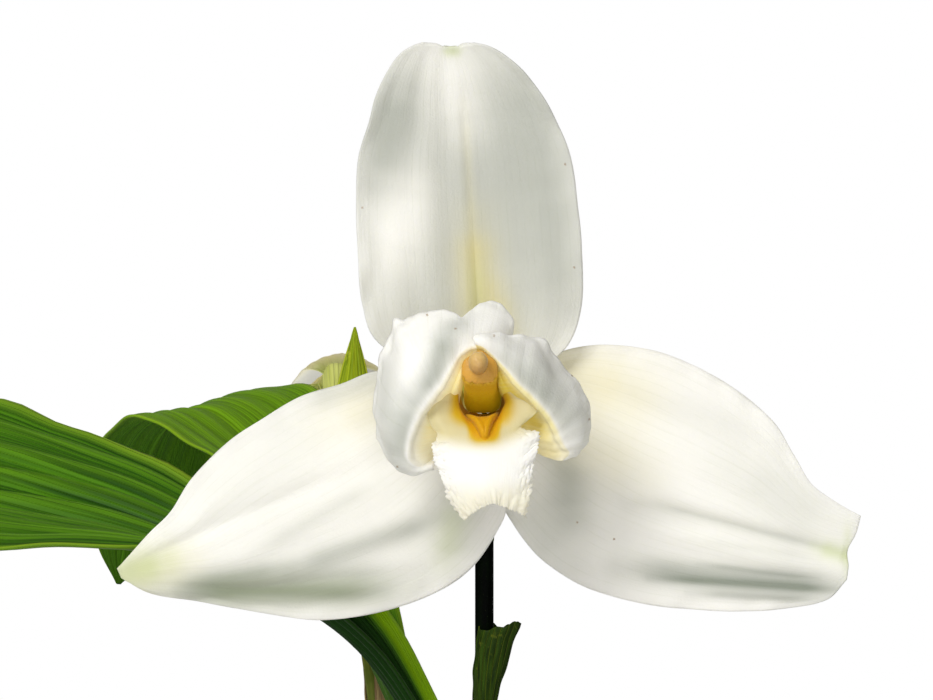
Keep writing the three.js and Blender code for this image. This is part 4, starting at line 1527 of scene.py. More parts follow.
@dataclass
class Leaves:
    """The five pleated leaves, each on a folded stalk from the top of its bulb."""

    thickness: float = 0.9
    # Midrib point, the way the upper face looks, both half widths and the fold of each station.
    leaves: tuple[Leaf, ...] = (
        Leaf((
            (6, 8, 193.4, 1, -0.1, 0, 3.5, 3.5, 2.5),
            (2, 4, 220, 1, -0.1, 0.2, 4, 4, 4),
            (-6, -1, 247, 1, -0.25, 0.3, 3.4, 5.5, 4.5),
            (-16.4, -5, 270, 0.9, -0.3, 0.4, 4.2, 6.6, 5),
            (-30, -7, 286, 0.7, -0.3, 0.7, 10, 12, 6.5),
            (-54, 1, 298, 0.35, -0.22, 0.95, 20, 21, 5),
            (-82, 7, 306, 0.15, -0.28, 0.95, 32, 32, 4.5),
            (-116, 9, 311, 0, -0.36, 0.95, 38, 39, 5),
            (-158, 12, 304, -0.2, -0.34, 0.95, 37, 37, 4),
            (-197, 18, 284, -0.5, -0.25, 0.85, 31, 31, 4),
            (-230, 25, 254, -0.7, -0.2, 0.7, 19, 19, 3),
            (-252, 31, 220, -0.8, -0.2, 0.5, 0.5, 0.5, 0),
        ), steps=(112, 82), painted_light_shade=((0.12, 0.5, -1.0, 1.0, 0.64),)),
        Leaf((
            (7, 14, 193.4, 0.9, 0.3, 0, 3.2, 3.2, 2.5),
            (0, 14, 218, 1, -0.1, 0.2, 3.5, 3.5, 4),
            (-9, 12, 243, 1, -0.2, 0.2, 4, 4, 5),
            (-18.6, 12, 268, 1, -0.3, 0.3, 5, 5, 5),
            (-28, 20, 288, 0.8, -0.4, 0.5, 10, 10, 6),
            (-39, 36, 307, 0.5, -0.6, 0.7, 15, 13, 5),
            (-51, 53, 320.5, 0.05, -0.45, 0.95, 16, 20.5, 4),
            (-61, 65, 326.5, 0, -0.3, 1, 16, 20, 1.5),
            (-70, 76, 322, -0.4, 0.35, 0.75, 13.5, 17, 1.5),
            (-76, 84, 310, -0.3, 0.9, 0.3, 11, 15, 2),
            (-80, 89, 296, -0.3, 0.9, 0.2, 7, 10, 1),
            (-82, 92, 286, -0.3, 0.9, 0.2, 0.5, 0.5, 0),
        ), pleats=7.0, pleat_height=0.35, steps=(112, 82), painted_light_shade=((0.3, 0.72, 0.4, 0.4, 0.0),)),
        Leaf((
            (38, 20, 189.4, -0.8, -0.6, 0, 3.5, 3.5, 2.5),
            (47, 28, 212, -0.7, -0.5, 0.4, 5, 5, 4),
            (62, 38, 232, -0.4, -0.3, 0.9, 14, 14, 6),
            (85, 50, 245, -0.1, -0.2, 1, 27, 27, 6),
            (115, 62, 246, 0.1, -0.1, 1, 34, 34, 5),
            (148, 75, 232, 0.4, 0, 0.9, 33, 33, 4),
            (178, 87, 205, 0.6, 0, 0.7, 26, 26, 4),
            (200, 96, 172, 0.8, 0.1, 0.5, 14, 14, 3),
            (212, 101, 142, 0.9, 0.1, 0.4, 0.5, 0.5, 0),
        )),
        Leaf((
            (38, 12, 189.4, -0.7, 0.6, 0, 3.5, 3.5, 2.5),
            (48, 2, 210, -0.6, 0.5, 0.5, 5, 5, 4),
            (66, -12, 226, -0.3, 0.2, 0.9, 14, 14, 6),
            (90, -28, 233, 0, 0, 1, 25, 25, 6),
            (118, -44, 226, 0.2, -0.2, 1, 31, 31, 5),
            (145, -60, 205, 0.5, -0.3, 0.8, 29, 29, 4),
            (165, -72, 175, 0.7, -0.4, 0.5, 20, 20, 3),
            (176, -79, 145, 0.8, -0.4, 0.3, 0.5, 0.5, 0),
        )),
        Leaf((
            (14, 15, 193.4, -0.3, -0.9, 0, 3.5, 3.5, 2.5),
            (20, 30, 216, 0, -0.9, 0.4, 5, 5, 4),
            (27, 52, 236, 0, -0.5, 0.9, 14, 14, 6),
            (33, 82, 246, 0, -0.1, 1, 26, 26, 6),
            (37, 116, 238, 0, 0.2, 1, 32, 32, 5),
            (39, 148, 214, 0, 0.5, 0.8, 29, 29, 4),
            (39, 172, 182, 0, 0.7, 0.5, 18, 18, 3),
            (38, 186, 152, 0, 0.8, 0.3, 0.5, 0.5, 0),
        )),
    )

    def leaf_solid(self, leaf: Leaf, seed: int) -> Solid:
        """One leaf with its pleats, its sunken midrib and softly waved margins.

        Args:
            leaf: The leaf.
            seed: Number that picks its unevenness.

        Returns:
            The closed solid.
        """
        sheet = Sheet.blade(leaf.stations, *leaf.steps, keel=1.3)
        width = curve_through(leaf.stations, sheet.u[:, 0])[:, 6:8].mean(axis=1)[:, None]
        broad = np.clip(width / 20, 0, 1)
        drift = 0.05 * ripple(sheet.points, 90.0, seed)
        wave = 2 / math.pi * np.arcsin(0.96 * np.sin(math.pi * leaf.pleats * (sheet.v + drift)))
        deeper = 1 + 0.35 * np.sin(2.3 * sheet.v * math.pi + seed)
        heights = wave * leaf.pleat_height * deeper * broad
        heights -= bell(sheet.v, 0.0, 0.035) * 1.1 * broad
        heights += ripple(sheet.points, 70.0, seed + 1) * 1.2 * broad ** 2
        heights += ripple(sheet.points, 22.0, seed + 2) * 0.9 * ease(np.abs(sheet.v), 0.7, 1.0) * broad
        sheet.push(heights)
        sheet.tint[..., 0] = (wave * broad + 1) / 2
        sheet.tint[..., 1] = np.abs(sheet.v)
        # Painted light and painted shade on the listed parts of the leaf.
        for start, end, near, far, meet in leaf.painted_light_shade:
            place = ease(sheet.u, start, start + 0.08) * ease(sheet.u, end, end - 0.08)
            sheet.tint[..., 2] += place * (near + (far - near) * ease(sheet.v, meet - 0.12, meet + 0.12))
        return sheet.solid(self.thickness, rim=0.6)

    def build(self) -> None:
        """Makes the leaves."""
        for i, leaf in enumerate(self.leaves):
            show(self.leaf_solid(leaf, 100 + 5 * i), f"leaf_{i + 1}", LeafFinish("leaf_skin"))


@dataclass(frozen=True)
class Wrap:
    """A bract rolled round a stem between two shares of its length."""

    node: str
    slot: str
    start: float
    end: float
    turn: float
    lean: float
    reach: float = 2.7
    opening: float = 0.35
    tip: float = 0.06
    belly: float = 0.6
    thickness: float = 0.45
    steps: tuple[int, int] = (58, 54)

    def solid(self, route: Rows, seed: int) -> Solid:
        """The bract with its long veins and torn top.

        Args:
            route: Points of the stem.
            seed: Number that picks its unevenness.

        Returns:
            The closed solid.
        """
        u, v = Sheet.grid(*self.steps)
        inner = (1 - np.abs(v)) ** 1.4
        torn = 0.025 * ripple(np.stack([v * 6, u, v * 0], axis=-1), 1.6, seed) * ease(u, 0.8, 1.0)
        place = self.start + (self.end - self.start) * u * (1 - self.tip + self.tip * inner + torn)
        hug = SCAPE_RADIUS + GAP / 2 + self.thickness / 2
        wide = hug + self.belly * ease(u, 0.15, 0.6) * (1 - v * v) + self.lean * u ** 2.5 * inner
        angle = self.turn + v * self.reach * (1 - self.opening * u * u)
        centre = curve_through(route, place.ravel())[:, :3].reshape(*u.shape, 3)
        tangent = heading(route, place.ravel()).reshape(*u.shape, 3)
        east = unit(np.array([1.0, 0, 0]) - tangent * tangent[..., :1])
        north = np.cross(tangent, east)
        ahead, beside = wide * np.cos(angle), wide * np.sin(angle)
        points = centre + east * ahead[..., None] + north * beside[..., None]
        sheet = Sheet(points, u, v)
        sheet.push(np.cos(v * math.pi * 9) * 0.08 + ripple(points, 6.0, seed + 1) * 0.12)
        return sheet.solid(self.thickness, rim=0.4)


@dataclass(frozen=True)
class Stem:
    """A flower stem: its route, the bracts round it, its finish and the number behind their unevenness."""

    node: str
    route: tuple[tuple[float, float, float], ...]
    wraps: tuple[Wrap, ...]
    finish: StemFinish
    seed: int
    steps: tuple[int, int] = (220, 24)

    def solid(self) -> Solid:
        """The stem, slightly swollen at each bract, with fine lines along it."""
        def joints(u: Array, angle: Array) -> Array:
            """The share of the radius at each place."""
            swell = sum(bell(u, wrap.start, 0.008) for wrap in self.wraps) * 0.08
            return 0.985 + swell + 0.012 * np.sin(angle * 9)

        return stalk([(*point, SCAPE_RADIUS) for point in self.route], *self.steps, joints)


@dataclass
class Stems:
    """The two flower stems with their sheathing bracts."""

    stems: tuple[Stem, ...] = (
        Stem(
            "front_scape",
            (
                (2.6, -8.5, BARK_TOP + 2 * GAP),
                (2, -12.5, 130),
                (1, -15.5, 155),
                (0.3, -18, 200),
                (0.3, -21, 250),
                (0.3, -22.5, 302.46),
            ),
            (
                Wrap("front_sheath_high", "bract", 0.87, 0.942, -0.35, 4.2, belly=1.0),
                Wrap("front_sheath_low", "bract", 0.5, 0.68, 2.8, 2.0),
            ),
            # Near black, partly painted shade.
            StemFinish("front_stem"),
            300,
        ),
        Stem(
            "back_scape",
            (
                (-6, -11, BARK_TOP + 2 * GAP),
                (-9, -10, 150),
                (-14, 2, 205),
                (-21.5, 21, 267),
                (-26, 38, 290),
                (-29, 58, 306),
            ),
            (
                Wrap("back_sheath_high", "dry_sheath", 0.5, 0.66, 0.6, 1.0),
                Wrap("back_sheath_low", "bract", 0.2, 0.36, 3.6, 2.0),
            ),
            StemFinish(
                "back_stem",
                dark=srgb(104, 108, 40),
                light=srgb(160, 154, 76),
                foot=srgb(102, 120, 48),
            ),
            310,
        ),
    )

    def build(self) -> None:
        """Makes the stems and their bracts."""
        looks = {"dry_sheath": DryFinish("stem_dry_sheath"), "bract": BractFinish("stem_bract")}
        for stem in self.stems:
            show(stem.solid(), stem.node, stem.finish)
            for wrap in stem.wraps:
                show(wrap.solid(stem.route, stem.seed), wrap.node, looks[wrap.slot])


class Tint(Enum):
    """The tints that a white finish can take, in the order of its attribute; the last is painted shade."""

    GREEN = 0
    YELLOW = 1
    # Painted shade: grey-green colour laid on where shadow falls on the white sepals and petals.
    PAINTED_SHADE = 2


class LipTint(Enum):
    """The tints that the lip's finish can take, in the order of its attribute; the last is painted shade."""

    CREAM = 0
    GOLD = 1
    # Painted shade deep in the throat.
    PAINTED_THROAT_SHADE = 2


@dataclass(frozen=True)
class Stroke:
    """A soft straight mark on a sheet that faces the front, in the flower's x and z."""

    start: tuple[float, float]
    end: tuple[float, float]
    width: float
    amount: float

    def weight(self, points: Array) -> Array:
        """How strong the mark is at each point, from 0 to 1.

        Args:
            points: Points in the flower's frame.

        Returns:
            The strength at each point.
        """
        start, end = np.array(self.start), np.array(self.end)
        line = end - start
        length = float(np.linalg.norm(line))
        flat = points[..., [0, 2]] - start
        share = flat @ line / length ** 2
        away = np.linalg.norm(flat - np.clip(share, 0, 1)[..., None] * line, axis=-1)
        taper = np.clip(length / self.width / 6, 0, 1) * 0.7
        ends = ease(share, 0.0, 0.25) * ease(share, 1.0, 0.75)
        return bell(away, 0.0, self.width) * (1 - taper + taper * ends)


Washes = Mapping[Tint, tuple[Stroke, ...]]


def washed(sheet: Sheet, washes: Washes, share: "Array | float" = 1.0) -> None:
    """Adds the strokes of each tint to a sheet, painted shade among them.

    Args:
        sheet: The sheet, in the flower's frame.
        washes: The strokes of each tint.
        share: How much of them each place takes.
    """
    for tint, strokes in washes.items():
        for stroke in strokes:
            sheet.tint[..., tint.value] += stroke.weight(sheet.points) * share * stroke.amount


@dataclass(frozen=True)
class Sepal:
    """A sepal of the open flower: its margins, its folds and its washes of colour: green and yellow of its
    own, and painted shade with some painted light.
    """

    node: str
    margins: Rows
    folds: tuple[Stroke, ...]
    washes: Washes
    specks: tuple[tuple[float, float], ...] = ()
    flutes: float = 6.0
    flute_height: float = 0.12
    ruffle: float = 0.35
    dents: float = 0.5
    notch: float = 0.0
    thickness: float = 0.9
    rim: float = 0.35
    steps: tuple[int, int] = (124, 92)
    seed: int = 1

    def solid(self) -> Solid:
        """The sepal in the flower's frame."""
        sheet = Sheet.between(self.margins, *self.steps)
        for fold in self.folds:
            sheet.advance(fold.weight(sheet.points) * fold.amount)
        fluted = ease(sheet.u, 0.0, 0.3) * ease(sheet.u, 0.96, 0.7)
        sheet.advance(np.cos(sheet.v * math.pi * self.flutes) * self.flute_height * fluted)
        inward = -unit(np.gradient(sheet.points, axis=0))
        notched = bell(sheet.v, 0.08, 0.35) * ease(sheet.u, 0.9, 1.0) * self.notch
        sheet.points += inward * notched[..., None]
        margin = ease(np.abs(sheet.v), 0.78, 1.0)
        sheet.advance(ripple(sheet.points, 9.0, self.seed) * self.ruffle * margin)
        sheet.advance(ripple(sheet.points, 34.0, self.seed + 1) * self.dents)
        washed(sheet, self.washes)
        sheet.tint = np.clip(sheet.tint, 0, 1)
        return sheet.solid(self.thickness, rim=self.rim)


@dataclass(frozen=True)
class Petal:
    """A petal of the open flower: a net of points from its base to its rolled outer margin, with painted
    shade washed onto its outer flap.
    """

    node: str
    rows: tuple[Rows, ...]
    washes: Washes
    specks: tuple[tuple[float, float], ...] = ()
    crinkle: float = 0.3
    # The share of its length where the inner wall folds over, how yellow that wall is, and how
    # strong the painted glow on its yellow parts is, standing for light through the flesh.
    crest: float = 0.72
    crest_warmth: float = 0.22
    painted_wall_glow: float = 0.22
    thickness: float = 0.6
    rim: float = 0.4
    steps: tuple[int, int] = (112, 94)
    seed: int = 1

    def solid(self) -> Solid:
        """The petal in the flower's frame."""
        sheet = Sheet.net(self.rows, *self.steps)
        u = sheet.u
        margin = np.maximum(ease(np.abs(sheet.v), 0.9, 1.0) * 0.5, ease(u, 0.9, 1.0))
        flap = ease(u, 0.72, 0.86)
        sheet.push(ripple(sheet.points, 3.4, self.seed) * self.crinkle * margin)
        sheet.push(ripple(sheet.points, 9.0, self.seed + 1) * self.crinkle * 0.6 * flap)
        sheet.push(np.cos(sheet.v * math.pi * 11 + u * 2) * 0.05 * ease(u, 0.2, 0.4))
        # Painted shade on the outer flap, fading out at its rim.
        washed(sheet, self.washes, ease(u, 0.7, 0.76) * ease(u, 1.0, 0.97))
        warm = ease(u, self.crest, self.crest - 0.04) * self.crest_warmth + ease(u, 0.64, 0.4) * 0.36
        warm = warm * (1 - 0.5 * ease(sheet.v, 0.1, 0.7)) + ease(u, 0.36, 0.15) * 0.3
        sheet.tint[..., Tint.YELLOW.value] += warm
        sheet.tint[..., Tint.GREEN.value] += ease(u, 0.3, 0.05) * 0.5
        sheet.tint = np.clip(sheet.tint, 0, 1)
        return sheet.solid(self.thickness, rim=self.rim)


def arc(count: int, start: float, end: float, radius: float, y: float, height: float) -> Rows:
    """Points on an arc round the flower's axis, placed to a tenth of a millimetre.

    Args:
        count: How many points there are.
        start: The angle of the first one in degrees, from +X towards +Z.
        end: The angle of the last one.
        radius: The radius in millimetres.
        y: Where the arc lies along the axis.
        height: The z of its centre.

    Returns:
        The points.
    """
    angles = np.radians(np.linspace(start, end, count))
    points = [radius * np.cos(angles), np.full(count, y), height + radius * np.sin(angles)]
    return np.column_stack(points).round(1)


@dataclass(frozen=True)
class Lip:
    """The lip: a narrow claw, side lobes like a collar, a raised callus and a fringed hanging lobe."""

    rows: tuple[Rows, ...] = (
        ((-3.1, -1, -1.3), (-2.7, -1, -2.1), (-1.9, -1, -2.8), (-1, -1, -3.2), (0, -1, -3.35),
         (1, -1, -3.2), (1.9, -1, -2.8), (2.7, -1, -2.1), (3.1, -1, -1.3)),
        ((-4.3, -8, 1.8), (-4.3, -8, 0), (-3.9, -8, -1.8), (-2.4, -8, -3.2), (0, -8, -3.7),
         (2.4, -8, -3.2), (3.9, -8, -1.8), (4.3, -8, 0), (4.3, -8, 1.8)),
        ((-7.9, -21.5, 1.9), (-6.3, -21, 2), (-4.8, -19.5, 1.7), (-4.6, -14, -1.1), (-0.4, -12, -4.4),
         (3.6, -14, -1.5), (3.6, -19.5, 1.5), (5, -21, 1.9), (6.4, -21.5, 2.1)),
        ((-9.9, -22, -0.1), (-7.2, -21.5, -0.4), (-4.9, -20, -0.5), (-4.3, -16.5, -2.7),
         (-0.3, -15.5, -4.6), (3.8, -16.5, -2.4), (4.3, -20, -0.3), (6.8, -21.5, -0.1), (9.5, -22, 0.1)),
        ((-10.3, -22, -2.4), (-7.5, -22, -2.8), (-4.5, -20.8, -2.6), (-2.8, -20, -3.8), (-0.1, -20, -4),
         (2.6, -20, -3.5), (3.9, -20.8, -2.2), (6.8, -22, -2.4), (9.7, -22, -2.1)),
        ((-9.5, -22.2, -4.8), (-7, -22.7, -5.1), (-3.7, -22.7, -5.3), (-1.9, -22.8, -5.6),
         (0.1, -23, -5.7), (1.9, -22.8, -5.5), (3.9, -22.7, -5.1), (6.2, -22.6, -4.4), (8.1, -22.2, -3.7)),
        ((-8.4, -22.6, -6.4), (-6.3, -23.2, -6.8), (-3.9, -23.6, -7.1), (-1.7, -24, -7.3),
         (0.2, -24.2, -7.3), (2.2, -24, -7.1), (4, -23.6, -6.7), (5.7, -23.2, -6), (6.8, -22.6, -5.1)),
        ((-9.2, -23.4, -8.7), (-6.8, -24.2, -8.5), (-4.3, -24.8, -9.1), (-1.9, -25.2, -9.2),
         (0.4, -25.4, -9.2), (2.8, -25.2, -8.9), (5.1, -24.8, -8.3), (7.7, -24.2, -7.1), (9.8, -23.4, -6.2)),
        ((-8.6, -24, -11.3), (-6.4, -24.8, -11.4), (-4.1, -25.4, -11.7), (-1.7, -25.8, -11.9),
         (0.6, -26, -11.9), (2.9, -25.8, -11.6), (5.3, -25.4, -11), (7.5, -24.8, -10.1), (9.6, -24, -8.9)),
        ((-7.7, -24.4, -13.6), (-5.7, -25.2, -14.1), (-3.4, -25.8, -14.4), (-1.2, -26.2, -14.6),
         (0.8, -26.4, -14.4), (2.8, -26.2, -14.2), (4.9, -25.8, -13.9), (6.9, -25.2, -13.4),
         (8.7, -24.4, -12.5)),
        ((-6.3, -24.8, -17.4), (-4.6, -25.4, -17.3), (-2.6, -26, -17.3), (-0.8, -26.4, -16.9),
         (1.1, -26.6, -16.6), (2.9, -26.4, -16.6), (4.7, -26, -16.6), (6.6, -25.4, -16.4),
         (8.4, -24.8, -16.3)),
        ((-3.7, -25, -21.8), (-2.5, -25.6, -20.8), (-1.2, -26, -19.9), (0.1, -26.3, -19.2),
         (1.5, -26.4, -18.7), (2.9, -26.3, -18.9), (4.4, -26, -19.5), (5.8, -25.6, -20.1), (7.6, -25, -21)),
    )
    hanging: float = 0.57
    teeth: float = 46.0
    tooth: float = 0.42
    callus_height: float = 2.1
    callus_start: float = 0.34
    callus_end: float = 0.53
    callus_spread: float = 0.16
    throat: float = 0.5
    thickness: float = 0.6
    rim: float = 0.35
    steps: tuple[int, int] = (210, 158)

    def callus(self, u: Array, v: Array) -> Array:
        """How much of the callus there is, from 0 to 1: a V that opens towards the throat.

        Args:
            u: Shares of the lip's length.
            v: Places across it.

        Returns:
            The amount at each place.
        """
        share = np.clip((u - self.callus_start) / (self.callus_end - self.callus_start), 0, 1)
        leg = self.callus_spread * (1 - share)
        horn = bell(np.abs(v), leg, 0.06)
        filled = ease(np.abs(v), leg + 0.075, leg + 0.005)
        start = self.callus_start + 0.02 - 0.06 * horn
        ends = ease(u, start - 0.03, start)
        body = filled * (0.74 + 0.26 * horn + 0.1 * bell(v, 0.0, 0.06))
        return body * ends * ease(u, self.callus_end + 0.03, self.callus_end - 0.03)

    def fringed(self, sheet: Sheet) -> None:
        """Gives the hanging lobe its torn teeth and the fine folds that run in from them."""
        u, v = sheet.u, sheet.v
        side, end = ease(np.abs(v), 0.84, 1.0), ease(u, 0.965, 1.0)
        hanging = ease(u, self.hanging - 0.03, self.hanging + 0.05)
        uneven = ripple(np.stack([u * 60, v * 16, v * 0], -1), 3.0, 4)
        phase = (u * self.teeth + np.abs(v) * 3) * 2 * math.pi + uneven * 1.6
        tooth = (0.5 + 0.5 * np.sin(phase)) ** 0.7 * (1 + 0.6 * uneven) - 0.3
        bottom = (0.5 + 0.5 * np.sin(v * 70 + uneven * 3)) * (1 + 0.6 * uneven) - 0.3
        across = unit(np.gradient(sheet.points, axis=1)) * np.sign(v)[..., None]
        along = unit(np.gradient(sheet.points, axis=0))
        sheet.points = sheet.points + across * (tooth * self.tooth * hanging * side)[..., None]
        sheet.points = sheet.points + along * (bottom * self.tooth * 0.55 * end)[..., None]
        folds = np.sin(phase) * 0.06 + np.sin(u * 62 + np.abs(v) * 3 + uneven) * 0.26
        sheet.push(folds * ease(np.abs(v), 0.55, 0.95) * hanging)
        crease = np.sin(v * 26 + uneven) * 0.12 - bell(v, 0.1, 0.04) * 0.5
        sheet.push(crease * ease(u, 0.86, 1.0))

    def solid(self) -> Solid:
        """The lip in the flower's frame."""
        sheet = Sheet.net(self.rows, *self.steps)
        u, v = sheet.u, sheet.v
        collar = ease(u, self.hanging, self.hanging - 0.05) * ease(u, 0.1, 0.2)
        sheet.push(ripple(sheet.points, 4.0, 6) * 0.2 * ease(np.abs(v), 0.6, 1.0) * collar)
        self.fringed(sheet)
        callus = self.callus(u, v)
        rise = callus * self.callus_height * ease(u, self.callus_end + 0.1, self.callus_start)
        sheet.advance(rise)
        sheet.points[..., 2] += rise * 0.35
        halo = np.clip(bell(u, 0.44, 0.11) * ease(np.abs(v), 0.5, 0.14) * 1.5, 0, 1)
        brim = bell(np.abs(v), self.throat, 0.16) * ease(u, 0.16, 0.24) * ease(u, 0.5, 0.36)
        inside = ease(np.abs(v), self.throat + 0.02, self.throat - 0.14) * ease(u, 0.44, 0.36)
        gold = np.clip(callus * 1.6 + halo * 1.0 + brim * 0.6 + inside * 0.8, 0, 1)
        # Painted shade: olive darkening deep in the throat, stronger towards one side.
        dark = inside * ease(u, 0.36, 0.32) * (0.35 + 0.35 * ease(v, -0.1, 0.4))
        # Cream over the claw and side lobes is the lip's own; the cream wash towards the bottom of the
        # hanging lobe is painted shade.
        sheet.tint[..., LipTint.CREAM.value] = ease(u, 0.68, 0.5) * 0.8 + ease(u, 0.78, 0.98) * 0.3
        sheet.tint[..., LipTint.GOLD.value] = gold
        sheet.tint[..., LipTint.PAINTED_THROAT_SHADE.value] = dark
        return sheet.solid(self.thickness, rim=self.rim)


def rounded_tip(u: Array) -> Array:
    """The share of a column's radius along it, falling in a round end over its last tenth."""
    return np.maximum(np.sqrt(np.clip(1 - (np.clip(u - 0.9, 0, 1) / 0.1) ** 2, 0, 1)), 0.02)


@dataclass
class Flower:
    """What both flowers have in the same form: the ovary, its bract and the anther cap."""

    ovary: Rows
    bract: Rows
    anther: tuple[float, float, float]
    anther_radius: float = 1.75
    anther_levels: int = 40
    anther_sides: int = 56
    bract_thickness: float = 0.5
    # Steps along a piece and round it or across it.
    ovary_steps: tuple[int, int] = (72, 42)
    bract_steps: tuple[int, int] = (64, 40)

    def ovary_solid(self) -> Solid:
        """The ovary with six low ribs, fading towards the flower."""
        def ribbed(u: Array, angle: Array) -> Array:
            """The share of the radius at each place."""
            return 1 + 0.05 * np.cos(angle * 6) * ease(u, 1.0, 0.7)

        return stalk(self.ovary, *self.ovary_steps, ribbed)

    def bract_solid(self) -> Solid:
        """The bract under the ovary with its low veins."""
        bract = Sheet.blade(self.bract, *self.bract_steps)
        bract.push(np.cos(bract.v * math.pi * 7) * 0.1)
        return bract.solid(self.bract_thickness)

    def anther_solid(self) -> Solid:
        """The anther cap: a small rounded dome with a faint groove and a blunt beak."""
        angles = np.linspace(0, math.pi, self.anther_levels + 1)
        profile = np.column_stack([np.sin(angles), -np.cos(angles)]) * self.anther_radius
        cap = lathe(profile, self.anther_sides)
        x, y, z = cap.points.T
        groove = bell(x, 0.0, 0.3) * ease(z, 0.2, 1.4) * 0.1
        beak = bell(x, 0.0, 0.7) * ease(-y, 0.8, 1.6) * bell(z, -0.9, 0.7) * 0.16
        cap.points = cap.points - unit(cap.points) * groove[:, None] + (0, -1, 0) * beak[:, None]
        cap.points += unit(cap.points) * (ripple(cap.points, 1.3, 9) * 0.04)[:, None]
        cap.points[:, 2] *= 1.22
        return cap.moved(self.anther)


